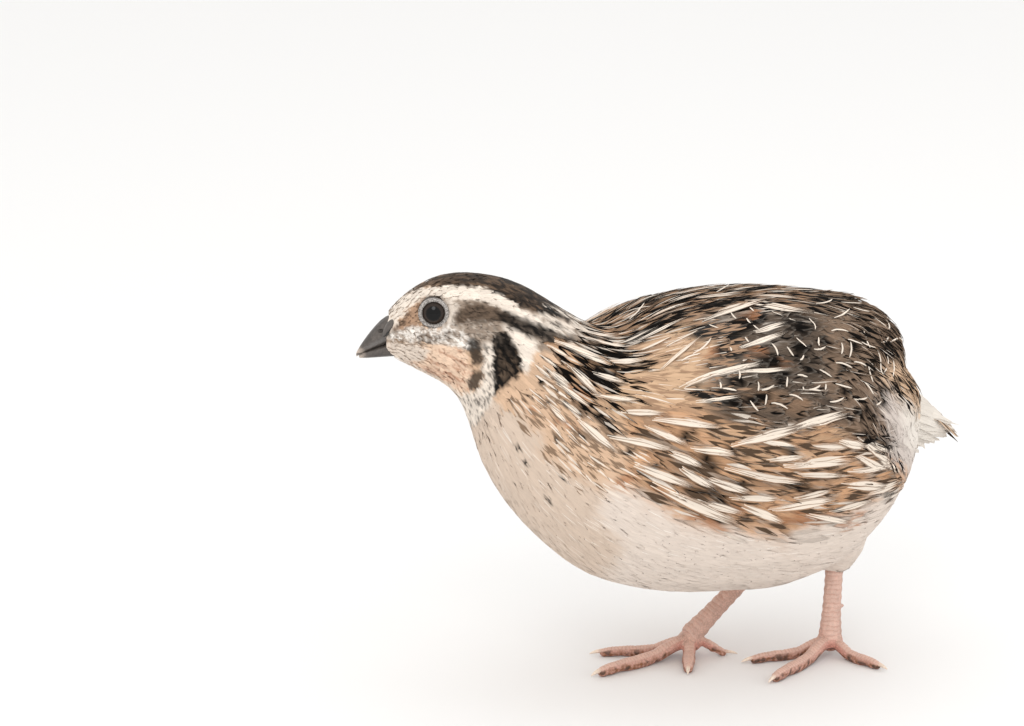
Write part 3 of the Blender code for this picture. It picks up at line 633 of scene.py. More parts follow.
def roots_on_skin(count, spread_at, seed):
    """Places spread evenly over the skin, its normals there and the lie of the coat. `spread_at` gives each
    place its gap across the lie, in metres, and how many gaps lie between two roots along it."""
    draw = np.random.default_rng(seed)
    skin.data.calc_loop_triangles()
    corners = np.empty(len(skin.data.loop_triangles) * 3, np.int32)
    skin.data.loop_triangles.foreach_get("vertices", corners)
    corners = corners.reshape(-1, 3)
    places, normals = points_of(skin), normals_of(skin)
    a, b, c = (places[corners[:, k]] for k in range(3))
    area = np.linalg.norm(np.cross(b - a, c - a), axis=1)
    chosen = draw.choice(len(corners), size=count, p=area / area.sum())
    r, s = draw.random(count), draw.random(count)
    over = r + s > 1
    r, s = np.where(over, 1 - r, r), np.where(over, 1 - s, s)
    spot = a[chosen] + (b - a)[chosen] * r[:, None] + (c - a)[chosen] * s[:, None]
    normal = normals[corners[chosen, 0]]
    gap, stretch = spread_at(spot)
    lie = lie_at(spot, normal)
    crowd = KDTree(count)
    for index in range(count):
        crowd.insert(spot[index], index)
    crowd.balance()
    taken = gap <= 0
    kept = []
    for index in range(count):
        if taken[index]:
            continue
        kept.append(index)
        near = np.array([other for _, other, _ in crowd.find_range(spot[index], gap[index] * stretch[index])])
        off = spot[near] - spot[index]
        along = off @ lie[index]
        aside = (off ** 2).sum(1) - along ** 2
        taken[near[(along / stretch[index]) ** 2 + aside < gap[index] ** 2]] = True
    return spot[kept], normal[kept], lie[kept]


MAP_MARGIN = np.array((0.02, 0.04))
MAP_LENGTH = 175.0
TUFT_PATCH = 0.003


def skin_map(places):
    """Where a place lies on the skin's own unwrap: along the middle line, and round it from the belly."""
    reach = np.clip(along_line(places), LINE_AHEAD[0], LINE_AHEAD[-1])
    middle = bench(reach, np.interp(reach, LINE_AHEAD, LINE_LEFT), np.interp(reach, LINE_AHEAD, LINE_UP))
    off = places - middle
    round_it = np.arctan2(off[:, 1], off[:, 2]) / (2 * math.pi) + 0.5
    marks = np.stack([round_it, (along_line(places) - LINE_AHEAD[0]) / MAP_LENGTH], axis=-1)
    return MAP_MARGIN + (1 - 2 * MAP_MARGIN) * marks


def feather_paths(roots, directions, lengths, low, high, steps, rise, curl=None, free=0.0, tuck=0.0):
    """The middle lines of feathers: each runs along the skin from its root, rising from `low` to `high`. With
    `free` above 0 a feather keeps part of its own straight course instead of bending with the skin. `tuck`
    dips its tip again."""
    count = len(roots)
    path = np.zeros((count, steps, 3))
    outward = np.zeros((count, steps, 3))
    for index in range(count):
        place, direction = roots[index], directions[index]
        stride = lengths[index] / (steps - 1)
        for step in range(steps):
            near, normal, _, _ = skin_tree.find_nearest(Vector(place))
            near, normal = np.array(near), np.array(normal)
            direction = direction - normal * (direction @ normal)
            direction /= max(np.linalg.norm(direction), 1e-9)
            if curl is not None:
                turn = curl[index] / (steps - 1)
                direction = direction * math.cos(turn) + np.cross(normal, direction) * math.sin(turn)
            path[index, step] = near * (1 - free) + place * free if step else near
            outward[index, step] = normal
            place = path[index, step] + direction * stride
    along = np.linspace(0, 1, steps) ** rise
    low, high = (np.broadcast_to(height, count)[:, None] for height in (low, high))
    height = low + (high - low) * along[None]
    height = height * (1 - tuck * ease(np.linspace(0, 1, steps), 0.65, 1.0))[None]
    path += outward * height[:, :, None]
    return path, outward


def lay_feathers(name, path, outward, widths, shape, camber, follow, across, seed, tip_fray=0.0,
                 edge_fray=0.0):
    """One joined mesh of feathers from their middle lines. Each is a thin closed blade, with a cambered upper
    face and a flat underside. `shape` gives the half width along the feather, from 0 to 1. Barbs of
    neighbouring feathers mesh, so the light falls on them partly as on one soft surface: `follow` turns the
    normals of the upper faces that far to the body's own."""
    draw = np.random.default_rng(seed)
    count, steps, _ = path.shape
    heading = unit(np.gradient(path, axis=1))
    side = unit(np.cross(heading, outward))
    up = np.cross(side, heading)
    u = np.linspace(-1, 1, across)
    v = np.linspace(0, 1, steps)
    half = widths[:, None] / 2 * shape(v)[None]
    half = half * (1 + edge_fray * draw.normal(size=(count, steps)))
    half[:, 0] = widths / 2 * shape(v)[0]
    spread = half[:, :, None] * u[None, None, :]
    drop = camber * np.abs(half[:, :, None]) * u[None, None, :] ** 2
    grid = path[:, :, None, :] + side[:, :, None, :] * spread[..., None] - up[:, :, None, :] * drop[..., None]
    reach = np.linalg.norm(path[:, -1] - path[:, -2], axis=1)
    tip = tip_fray * reach[:, None] * draw.normal(size=(count, across))
    grid[:, -1] += heading[:, -1][:, None, :] * tip[..., None]
    each = steps * across
    first = np.arange(count) * each
    row, column = np.meshgrid(np.arange(steps - 1), np.arange(across - 1), indexing="ij")
    corner = (row * across + column).ravel()
    top = np.stack([corner, corner + 1, corner + across + 1, corner + across], axis=1)
    low = np.arange(steps - 1) * across
    under = np.stack([low, low + across, low + 2 * across - 1, low + across - 1], axis=1)
    root_end = np.arange(across - 1, -1, -1)
    tip_end = np.arange(across) + (steps - 1) * across
    loops = np.concatenate([top.ravel(), under.ravel(), root_end, tip_end])
    sizes = np.concatenate([np.full(len(top) + len(under), 4), [across, across]])
    all_loops = (first[:, None] + loops[None]).ravel()
    all_sizes = np.tile(sizes, count)
    mesh = bpy.data.meshes.new(name)
    mesh.vertices.add(count * each)
    mesh.vertices.foreach_set("co", grid.astype(np.float32).ravel())
    mesh.loops.add(len(all_loops))
    mesh.loops.foreach_set("vertex_index", all_loops.astype(np.int32))
    mesh.polygons.add(len(all_sizes))
    starts = np.concatenate([[0], np.cumsum(all_sizes)[:-1]])
    mesh.polygons.foreach_set("loop_start", starts.astype(np.int32))
    smooth = np.concatenate([np.ones(len(top)), np.zeros(len(under) + 2)]).astype(bool)
    mesh.polygons.foreach_set("use_smooth", np.tile(smooth, count))
    u_all = np.tile(u, (steps, 1)).ravel()
    v_all = np.repeat(v, across)
    vane = mesh.uv_layers.new(name="Vane")
    own = np.stack([0.5 + 0.5 * u_all[loops], v_all[loops]], axis=-1)
    vane.data.foreach_set("uv", np.tile(own, (count, 1)).astype(np.float32).ravel())
    bake = mesh.uv_layers.new(name="OFBake")
    centre = skin_map(path[:, 0])
    patch = np.stack([0.5 * u_all[loops], v_all[loops] - 0.5], axis=-1) * TUFT_PATCH
    bake.data.foreach_set("uv", (centre[:, None, :] + patch[None]).astype(np.float32).ravel())
    mesh.update(calc_edges=True)
    upper = up[:, :, None, :] + side[:, :, None, :] * (2 * camber * u)[None, None, :, None]
    upper = unit(upper * (1 - follow) + outward[:, :, None, :] * follow)
    facing = upper.reshape(count, each, 3)[:, loops]
    below = slice(top.size, top.size + under.size)
    facing[:, below] = -up[:, loops[below] // across]
    facing[:, top.size + under.size:-across] = -heading[:, :1]
    facing[:, -across:] = heading[:, -1:]
    mesh.normals_split_custom_set(facing.reshape(-1, 3).astype(np.float32))
    piece = bpy.data.objects.new(name, mesh)
    bpy.context.scene.collection.objects.link(piece)
    return piece, grid


# The plumage
# Each feather is a thin vane with barbs to both sides of a pale shaft. One finish serves them all: what a
# feather carries, its ground, its dark marks, its pale streak and their sizes, is given with the feather.


def add(tree, kind, **settings):
    node = tree.nodes.new(kind)
    for key, value in settings.items():
        setattr(node, key, value)
    return node


def plug(tree, value, socket):
    """Joins a socket, or sets a plain value."""
    if isinstance(value, bpy.types.NodeSocket):
        tree.links.new(value, socket)
    else:
        socket.default_value = value


def sum_of(tree, operation, *values, clamp=False):
    node = add(tree, "ShaderNodeMath", operation=operation, use_clamp=clamp)
    for socket, value in zip(node.inputs, values):
        plug(tree, value, socket)
    return node.outputs[0]


def step_between(tree, value, low, high, out_low=0.0, out_high=1.0):
    node = add(tree, "ShaderNodeMapRange", interpolation_type="SMOOTHSTEP")
    for socket, given in zip(node.inputs, (value, low, high, out_low, out_high)):
        plug(tree, given, socket)
    return node.outputs[0]


def blend_of(tree, amount, first, second, kind="MIX"):
    node = add(tree, "ShaderNodeMix", data_type="RGBA", blend_type=kind)
    plug(tree, amount, node.inputs[0])
    plug(tree, first, node.inputs[6])
    plug(tree, second, node.inputs[7])
    return node.outputs[2]


def noise_of(tree, vector, scale, detail=2.0, roughness=0.5):
    node = add(tree, "ShaderNodeTexNoise")
    plug(tree, vector, node.inputs["Vector"])
    plug(tree, scale, node.inputs["Scale"])
    plug(tree, detail, node.inputs["Detail"])
    plug(tree, roughness, node.inputs["Roughness"])
    return node.outputs["Fac"]


def vector_of(tree, x, y, z):
    node = add(tree, "ShaderNodeCombineXYZ")
    for socket, value in zip(node.inputs, (x, y, z)):
        plug(tree, value, socket)
    return node.outputs[0]


def carried(tree):
    """The colour that a piece carries at its points, and the share beside it."""
    node = add(tree, "ShaderNodeAttribute", attribute_name="ground")
    return node.outputs["Color"], node.outputs["Alpha"]


def grain_of(tree, scale, roughness=0.5):
    """Fine grain in a piece's own space."""
    return noise_of(tree, add(tree, "ShaderNodeTexCoord").outputs["Object"], scale, 3.0, roughness)


def shaded_by(tree, colour, shade):
    """A colour, darker or lighter by one value."""
    return blend_of(tree, 1.0, colour, vector_of(tree, shade, shade, shade), "MULTIPLY")


def raised_by(tree, height, surface, strength, distance):
    """Gives a surface a fine relief."""
    relief = add(tree, "ShaderNodeBump")
    relief.inputs["Strength"].default_value = strength
    relief.inputs["Distance"].default_value = distance
    tree.links.new(height, relief.inputs["Height"])
    tree.links.new(relief.outputs[0], surface.inputs["Normal"])


def new_finish(name, **settings):
    """A new material, its tree and its surface. A setting is named as on the surface, with _ for a space."""
    material = bpy.data.materials.new(name)
    material.use_nodes = True
    surface = material.node_tree.nodes["Principled BSDF"]
    for setting, value in settings.items():
        surface.inputs[setting.replace("_", " ")].default_value = value
    return material, material.node_tree, surface


def read_mark(tree, name):
    node = add(tree, "ShaderNodeAttribute", attribute_name=name)
    split = add(tree, "ShaderNodeSeparateColor")
    tree.links.new(node.outputs["Color"], split.inputs[0])
    return node.outputs["Color"], split.outputs[0], split.outputs[1], split.outputs[2], node.outputs["Alpha"]


def new_group(name, inputs, outputs):
    group = bpy.data.node_groups.new(name, "ShaderNodeTree")
    for socket_name, kind, value in inputs:
        socket = group.interface.new_socket(socket_name, in_out="INPUT", socket_type=kind)
        socket.default_value = value
    for socket_name, kind in outputs:
        group.interface.new_socket(socket_name, in_out="OUTPUT", socket_type=kind)
    return group, add(group, "NodeGroupInput"), add(group, "NodeGroupOutput")


vane_pattern, vane_in, vane_out = new_group(
    "vane pattern",
    [("Barb depth", "NodeSocketFloat", 0.25), ("Barb count", "NodeSocketFloat", 26.0),
     ("Barb slant", "NodeSocketFloat", 0.32), ("Root shade", "NodeSocketFloat", 0.72)],
    [("Colour", "NodeSocketColor"), ("Height", "NodeSocketFloat")],
)
tree = vane_pattern
vane_map = add(tree, "ShaderNodeUVMap", uv_map="Vane")
vane_split = add(tree, "ShaderNodeSeparateXYZ")
tree.links.new(vane_map.outputs[0], vane_split.inputs[0])
across_vane = sum_of(tree, "MULTIPLY_ADD", vane_split.outputs[0], 2.0, -1.0)
along_vane = vane_split.outputs[1]
from_shaft = sum_of(tree, "ABSOLUTE", across_vane)
ground, _, _, _, _ = read_mark(tree, "ground")
dark, _, _, _, _ = read_mark(tree, "dark")
pale, _, _, _, _ = read_mark(tree, "pale")
_, streak_width, streak_strength, dark_amount, dark_turns = read_mark(tree, "plan")
_, corner_marks, fringe, chance, chance_two = read_mark(tree, "plan_two")
barb_lag = sum_of(tree, "MULTIPLY", from_shaft, vane_in.outputs["Barb slant"])
barb_run = sum_of(tree, "SUBTRACT", along_vane, barb_lag)
seed_shift = sum_of(tree, "MULTIPLY", chance, 91.0)
barb_lines = noise_of(
    tree,
    vector_of(tree, sum_of(tree, "MULTIPLY", barb_run, vane_in.outputs["Barb count"]),
              sum_of(tree, "MULTIPLY_ADD", across_vane, 1.6, seed_shift), seed_shift),
    1.0, 3.0, 0.65,
)
patches = noise_of(
    tree,
    vector_of(tree, sum_of(tree, "MULTIPLY", barb_run, 4.0),
              sum_of(tree, "MULTIPLY_ADD", across_vane, 1.3, seed_shift), seed_shift),
    1.0, 1.0,
)
ragged = sum_of(tree, "MULTIPLY_ADD", barb_lines, 0.5, -0.25)
bar_wave = sum_of(
    tree, "SINE",
    sum_of(tree, "MULTIPLY_ADD", sum_of(tree, "MULTIPLY_ADD", from_shaft, -0.35, along_vane),
           sum_of(tree, "MULTIPLY", dark_turns, 2 * math.pi), sum_of(tree, "MULTIPLY", chance_two, 6.28)),
)
bar_level = sum_of(tree, "ADD", sum_of(tree, "MULTIPLY_ADD", bar_wave, 0.28, 0.28),
                   sum_of(tree, "MULTIPLY", patches, 0.8))
dark_gate = sum_of(tree, "SUBTRACT", 1.05, sum_of(tree, "MULTIPLY", dark_amount, 0.8))
dark_mask = step_between(tree, sum_of(tree, "ADD", bar_level, sum_of(tree, "MULTIPLY", ragged, 0.35)),
                         sum_of(tree, "SUBTRACT", dark_gate, 0.1), sum_of(tree, "ADD", dark_gate, 0.1))
dark_mask = sum_of(tree, "MULTIPLY", dark_mask, step_between(tree, dark_amount, 0.0, 0.08))
taper = sum_of(
    tree, "MULTIPLY",
    step_between(tree, along_vane, 0.05, 0.7, 0.45, 1.0),
    step_between(tree, along_vane, 0.72, 1.0, 1.0, 0.1),
)
streak_edge = sum_of(tree, "MULTIPLY", streak_width, taper)
streak_mask = step_between(
    tree, sum_of(tree, "ADD", from_shaft, sum_of(tree, "MULTIPLY", ragged, 0.22)),
    sum_of(tree, "MULTIPLY", streak_edge, 0.72), sum_of(tree, "MULTIPLY_ADD", streak_edge, 1.1, 0.02),
    1.0, 0.0,
)
streak_mask = sum_of(tree, "MULTIPLY", streak_mask, streak_strength)
corner_run = sum_of(tree, "MULTIPLY_ADD", from_shaft, -0.12, along_vane)
corner_cut = sum_of(tree, "ABSOLUTE", sum_of(
    tree, "SUBTRACT", sum_of(tree, "FRACT", sum_of(tree, "MULTIPLY_ADD", corner_run, 3.2, chance_two)), 0.5))
corner_line = step_between(tree, corner_cut, 0.035, 0.075, 1.0, 0.0)
one_side = step_between(tree, sum_of(tree, "MULTIPLY", across_vane,
                                     sum_of(tree, "SIGN", sum_of(tree, "SUBTRACT", chance, 0.5))), 0.0, 0.06)
corner_mask = sum_of(tree, "MULTIPLY", sum_of(tree, "MULTIPLY", corner_line, one_side), corner_marks)
fringe_mask = sum_of(tree, "MULTIPLY", fringe, sum_of(
    tree, "MAXIMUM", step_between(tree, from_shaft, 0.72, 0.98), step_between(tree, along_vane, 0.9, 1.0)))
body_tone = blend_of(tree, dark_mask, ground, dark)
body_tone = blend_of(tree, fringe_mask, body_tone, pale)
body_tone = blend_of(tree, corner_mask, body_tone, pale)
body_tone = blend_of(tree, streak_mask, body_tone, pale)
barb_tone = step_between(tree, barb_lines, 0.3, 0.7)
shade_low = sum_of(tree, "SUBTRACT", 1.0, vane_in.outputs["Barb depth"])
shade_high = sum_of(tree, "MULTIPLY_ADD", vane_in.outputs["Barb depth"], 0.35, 1.0)
barb_shade = step_between(tree, barb_lines, 0.25, 0.75, shade_low, shade_high)
root_shade = step_between(tree, along_vane, 0.0, 0.45, vane_in.outputs["Root shade"], 1.0)
vane_shade = sum_of(tree, "MULTIPLY", barb_shade, root_shade)
shaft_line = step_between(tree, from_shaft, 0.02, 0.08, 1.0, 0.0)
tree.links.new(shaded_by(tree, body_tone, vane_shade), vane_out.inputs["Colour"])
tree.links.new(sum_of(tree, "ADD", barb_tone, shaft_line), vane_out.inputs["Height"])


BARB_RELIEF = 0.0002


def plumage(name, barb_depth, barb_count, barb_slant, root_shade, sheen, bump):
    """A finish for feathers, from the vane pattern with its own barbs and gloss."""
    material, tree, surface = new_finish(
        name, Roughness=0.88, Sheen_Weight=sheen, Sheen_Roughness=0.6, Specular_IOR_Level=0.08)
    pattern = add(tree, "ShaderNodeGroup", node_tree=vane_pattern)
    for socket, value in zip(pattern.inputs, (barb_depth, barb_count, barb_slant, root_shade)):
        socket.default_value = value
    tree.links.new(pattern.outputs["Colour"], surface.inputs["Base Color"])
    raised_by(tree, pattern.outputs["Height"], surface, bump, BARB_RELIEF)
    return material


face_finish = plumage("face feathers", 0.20, 5.0, 0.8, 0.95, 0.08, 0.25)
soft_finish = plumage("soft body feathers", 0.12, 4.0, 1.2, 1.0, 0.1, 0.2)
back_finish = plumage("back feathers", 0.26, 22.0, 0.4, 0.85, 0.0, 0.5)
wing_finish = plumage("wing feathers", 0.42, 26.0, 0.5, 0.8, 0.0, 0.6)
plume_finish = plumage("loose plumes", 0.35, 8.0, 1.2, 0.8, 0.0, 0.4)

# Sizes in millimetres: the gap between roots across the lie, and how many gaps lie between them along it; the
# length and the width; then how much of the width the pale streak takes, how often it shows, how much of the
# vane is dark and in how many bars, the pale corner marks, the pale fringe and how far the tips stand out.
# Below them are the ground, the dark and the pale tone, and the finish.
FEATHER_KINDS = {
    "breast": (
        0.56, 5.0, 8.0, 1.4, 0.1, 0.2, 0.0, 1.0, 0.0, 0.0, 0.95,
        BREAST_CREAM, CHEST_BUFF, WHITE, soft_finish,
    ),
    "belly": (
        0.60, 5.0, 9.0, 1.5, 0.1, 0.2, 0.0, 1.0, 0.0, 0.0, 0.95,
        BELLY_CREAM, BREAST_CREAM, WHITE, soft_finish,
    ),
    "chest": (
        0.75, 3.8, 8.5, 1.6, 0.3, 0.3, 0.26, 1.3, 0.0, 0.0, 1.0,
        CHEST_BUFF, EAR_BROWN, CREAM, soft_finish,
    ),
    "nape": (
        1.15, 3.6, 12.0, 2.3, 0.3, 0.5, 0.46, 1.6, 0.0, 0.0, 1.3,
        NAPE_BUFF, BLACK, CREAM, back_finish,
    ),
    "mantle": (
        1.25, 3.6, 14.0, 2.6, 0.18, 0.35, 0.55, 2.2, 0.0, 0.1, 1.4,
        MANTLE_BROWN, BLACK, CREAM, back_finish,
    ),
    "shoulder": (
        0.95, 3.6, 12.0, 2.4, 0.12, 0.3, 0.25, 1.2, 0.0, 0.0, 0.95,
        SHOULDER_BUFF, MANTLE_BROWN, CREAM, soft_finish,
    ),
    "covert": (
        1.5, 2.3, 11.0, 3.5, 0.06, 0.15, 0.12, 2.0, 0.0, 0.12, 1.3,
        COVERT_GREY, BLACK, CREAM, wing_finish,
    ),
    "flank": (
        1.35, 4.2, 16.0, 3.0, 0.36, 0.12, 0.28, 1.6, 0.0, 0.1, 1.3,
        FLANK_CINNAMON, CROWN_BROWN, CREAM, back_finish,
    ),
    "rump": (
        0.95, 3.2, 11.5, 1.7, 0.16, 0.22, 0.34, 1.2, 0.0, 0.0, 1.9,
        RUMP_BROWN, BLACK, CREAM, plume_finish,
    ),
    "plume": (
        0.62, 4.4, 10.0, 1.3, 0.2, 0.0, 0.0, 1.0, 0.0, 0.0, 1.4,
        PLUME_LILAC, RUMP_BROWN, WHITE, soft_finish,
    ),
    "tail": (
        1.3, 3.0, 11.0, 3.2, 0.1, 0.6, 0.22, 2.6, 0.0, 0.2, 1.5,
        TAIL_BROWN, BLACK, CREAM, back_finish,
    ),
    "undertail": (
        0.7, 4.0, 12.0, 1.6, 0.1, 0.0, 0.0, 1.0, 0.0, 0.0, 1.4,
        TAIL_WHITE, PLUME_LILAC, WHITE, soft_finish,
    ),
}
KIND_NAMES = list(FEATHER_KINDS)
kind_places = np.array([pixel for name in KIND_NAMES for pixel in COAT_KINDS[name]], float)
kind_numbers = np.array([KIND_NAMES.index(name) for name in KIND_NAMES for _ in COAT_KINDS[name]])
KIND_JITTER = 7.0
PLAIN_KINDS = [KIND_NAMES.index(name) for name in ("belly", "plume", "undertail")]
FACE_EDGE = (
    (340, 240), (578, 240), (574, 318), (560, 328), (545, 342), (534, 366), (515, 382), (500, 398),
    (482, 426), (455, 436), (430, 400), (340, 400),
)
HEAD_REACH = 44.0


def below_tail(places):
    """How far each place, on the left side, lies in the plain part below the tail, hidden in the photo."""
    ahead, left, up = bench_values(places)
    return ease(-ahead, 42.0, 52.0) * (1 - ease(left, 9.0, 16.0)) * (1 - ease(up, 52.0, 60.0))


def kinds_at(places):
    """The number of the feather kind at each place, or -1 on the face and the neck bars."""
    left_places = on_left_side(places)
    pixels = in_photo(left_places)
    face = (inside(pixels, FACE_EDGE, 4) > 0.5) & (along_line(places) > HEAD_REACH)
    shift = np.stack([mottle(places, 0.009, 21), mottle(places, 0.009, 22)], axis=-1) * KIND_JITTER
    apart = ((pixels + shift)[:, None, :] - kind_places[None]) ** 2
    kinds = kind_numbers[apart.sum(-1).argmin(1)]
    kinds = np.where(below_tail(left_places) > 0.5, KIND_NAMES.index("belly"), kinds)
    return np.where(face, -1, kinds)


# Patches of colour on the body, where the photograph shows them: the middle, half length, half width and
# tilt, in pixels and degrees.
DARK_PATCHES = (
    (682, 302, 13, 4, -15), (645, 335, 26, 5, -25), (609, 350, 17, 4, 5), (594, 374, 16, 6, 15),
    (730, 333, 16, 8, 0), (758, 320, 8, 5, 0), (725, 353, 10, 6, 0), (800, 347, 10, 7, 60),
    (781, 379, 7, 6, 0), (716, 397, 14, 7, 10), (736, 404, 10, 6, 20), (689, 436, 7, 6, 10),
    (798, 325, 12, 5, 15), (854, 416, 5, 8, 60), (871, 437, 8, 5, 30), (706, 461, 8, 6, 30),
    (717, 496, 9, 7, 30), (697, 493, 8, 6, 30), (743, 482, 8, 4, 15), (736, 452, 5, 4, 0),
    (716, 523, 7, 3, 25), (745, 519, 7, 3, 20), (790, 450, 8, 5, 25), (799, 487, 11, 4, 0),
    (839, 511, 3, 4, 60), (891, 446, 6, 3, 30), (890, 493, 3, 3, 0), (622, 357, 12, 4, 5),
    (608, 375, 13, 4, 5), (584, 374, 13, 5, 35), (567, 405, 7, 3, 45), (582, 413, 7, 4, 25),
    (599, 417, 7, 4, 25), (610, 429, 8, 5, 50), (592, 350, 8, 3, 15), (560, 370, 6, 3, 45),
    (558, 380, 7, 3, 45), (538, 380, 6, 3, 45), (541, 360, 6, 3, 40), (549, 354, 5, 3, 40),
    (571, 349, 7, 3, 30), (593, 358, 10, 3, 15), (510, 406, 4, 2, 50), (557, 438, 6, 3, 60),
    (582, 435, 8, 4, 30), (529, 463, 3, 2, 45), (563, 480, 3, 2, 45), (549, 498, 3, 2, 45),
    (520, 449, 3, 2, 45), (670, 325, 12, 3, -22), (760, 400, 9, 6, 0), (700, 330, 10, 5, -20),
    (628, 452, 4, 6, 70), (655, 470, 6, 4, 30), (713, 328, 13, 9, -30), (740, 326, 14, 9, 0),
    (731, 350, 13, 8, 0), (711, 365, 6, 5, 0), (704, 393, 17, 5, 10), (729, 398, 8, 6, 40),
    (737, 381, 5, 7, 0), (770, 363, 9, 4, 5), (785, 380, 5, 8, 20), (797, 349, 7, 10, 0),
    (801, 325, 15, 4, 5), (666, 306, 13, 3, -10), (650, 331, 17, 4, -15), (632, 339, 11, 4, -15),
    (621, 356, 11, 5, 10), (610, 371, 11, 4, 10), (855, 345, 4, 9, 20), (872, 366, 4, 9, 10),
    (880, 395, 5, 8, 20), (842, 368, 6, 4, 0), (868, 414, 8, 5, 10), (888, 347, 4, 9, -30),
    (896, 386, 3, 6, 20), (825, 344, 8, 4, 40), (812, 372, 6, 5, 0), (846, 392, 7, 4, 20),
    (545, 351, 5, 2, 45), (553, 361, 5, 2, 45), (547, 372, 4, 2, 45), (563, 362, 5, 2, 45),
    (540, 384, 4, 2, 50), (566, 378, 5, 2, 45), (531, 394, 4, 2, 50), (557, 391, 5, 2, 45),
    (571, 396, 5, 2, 40), (549, 402, 4, 2, 50),
)
BROWN_PATCHES = (
    (829, 480, 20, 6, -5), (874, 470, 8, 6, 0), (858, 500, 9, 5, -10), (770, 487, 18, 6, 5),
    (765, 400, 26, 10, 0), (690, 410, 14, 5, 5), (640, 415, 12, 5, 10), (800, 405, 16, 9, 0),
    (700, 462, 10, 5, 30), (690, 470, 34, 12, 25), (735, 490, 24, 9, 15),
)
RUFOUS_PATCHES = (
    (752, 314, 15, 5, 0), (713, 353, 8, 4, -20), (784, 365, 6, 3, 10), (757, 353, 8, 4, -10),
    (708, 523, 22, 5, 28), (734, 509, 11, 5, 10), (810, 517, 28, 4, -6), (852, 521, 16, 3, -25),
    (575, 389, 12, 3, 25), (532, 412, 5, 5, 40), (567, 424, 14, 4, 12), (663, 418, 6, 5, 0),
    (874, 468, 6, 4, 0), (690, 300, 10, 2, -10), (740, 330, 6, 3, 0), (624, 480, 6, 10, 60),
    (660, 490, 14, 4, 30),
)
BUFF_PATCHES = (
    (726, 434, 30, 6, -3), (656, 486, 18, 6, 30), (761, 456, 20, 6, 5), (824, 435, 22, 5, -5),
    (608, 384, 12, 4, -5), (655, 395, 26, 12, -5), (660, 360, 26, 10, -20), (810, 455, 14, 5, -10),
    (650, 440, 14, 4, 20), (560, 400, 16, 6, 40), (912, 388, 18, 9, 55),
)
PATCH_SOFTNESS = 0.55


def patch_at(pixels, patches):
    """How deep each pixel lies in any of the patches, from 0 to 1."""
    deepest = np.zeros(len(pixels))
    for x, y, half_long, half_short, tilt in patches:
        turn = math.radians(tilt)
        across, down = pixels[:, 0] - x, pixels[:, 1] - y
        run = (across * math.cos(turn) + down * math.sin(turn)) / half_long
        lift = (down * math.cos(turn) - across * math.sin(turn)) / half_short
        deepest = np.maximum(deepest, 1 - ease(np.hypot(run, lift), 1 - PATCH_SOFTNESS, 1 + PATCH_SOFTNESS))
    return deepest


# The pale streaks that stand out, one by one: start, end and half width in the photograph.
PALE_FEATHERS = (
    (706, 322, 768, 302, 2.4), (752, 306, 813, 318, 2.4), (756, 333, 786, 325, 2.0),
    (744, 348, 784, 336, 2.6), (688, 386, 763, 361, 3.0), (739, 374, 791, 370, 2.0),
    (639, 342, 689, 319, 1.2), (665, 368, 701, 339, 1.2), (640, 352, 676, 338, 1.0),
    (661, 420, 720, 427, 3.0), (615, 437, 675, 449, 3.6), (650, 428, 686, 444, 3.4),
    (695, 448, 735, 454, 3.6), (740, 443, 800, 427, 4.2), (795, 428, 846, 411, 4.0),
    (672, 452, 703, 465, 4.0), (684, 469, 714, 487, 4.2), (713, 479, 749, 491, 3.8),
    (640, 466, 692, 486, 4.6), (667, 491, 736, 523, 5.0), (739, 470, 801, 482, 4.0),
    (795, 464, 851, 462, 4.4), (849, 484, 885, 484, 4.4), (738, 497, 778, 497, 3.4),
    (747, 507, 781, 520, 4.4), (779, 507, 836, 496, 4.4), (842, 441, 862, 446, 4.4),
    (811, 514, 849, 521, 2.8), (581, 422, 616, 451, 3.2), (558, 344, 604, 362, 2.4),
    (572, 370, 599, 396, 2.6), (596, 375, 624, 384, 2.6), (611, 362, 648, 362, 2.2),
    (590, 340, 633, 350, 2.0), (617, 343, 660, 330, 1.2), (586, 333, 622, 341, 1.4),
    (575, 352, 612, 368, 2.2), (600, 396, 640, 402, 2.2), (626, 412, 665, 414, 2.4),
    (700, 500, 742, 512, 3.2), (760, 440, 796, 446, 2.6), (812, 446, 846, 446, 3.0),
    (858, 456, 884, 470, 3.6), (800, 474, 842, 474, 3.0), (560, 386, 590, 408, 2.0),
    (545, 368, 572, 392, 2.0), (700, 402, 742, 398, 1.6), (640, 300, 672, 292, 1.0),
    (668, 306, 702, 296, 1.0), (700, 300, 745, 297, 1.2), (760, 298, 800, 302, 1.2),
    (720, 312, 745, 306, 1.2), (655, 318, 690, 306, 1.2), (872, 490, 896, 480, 3.2),
    (862, 442, 888, 462, 3.4), (853, 470, 890, 465, 3.4), (876, 454, 898, 474, 3.0),
    (836, 509, 868, 499, 3.2), (882, 498, 900, 489, 2.6), (866, 440, 890, 452, 2.6),
    (800, 496, 830, 488, 2.8), (770, 460, 804, 456, 2.6), (549, 347, 568, 359, 1.3),
    (541, 356, 558, 369, 1.2), (536, 366, 552, 381, 1.2), (553, 372, 570, 386, 1.3),
    (544, 386, 560, 401, 1.3), (562, 400, 582, 416, 1.6), (552, 408, 568, 424, 1.4),
)
kind_grounds = np.array([FEATHER_KINDS[name][11] for name in KIND_NAMES])
KIND_BLEND = 90.0
STREAK_SHADE = 1.8


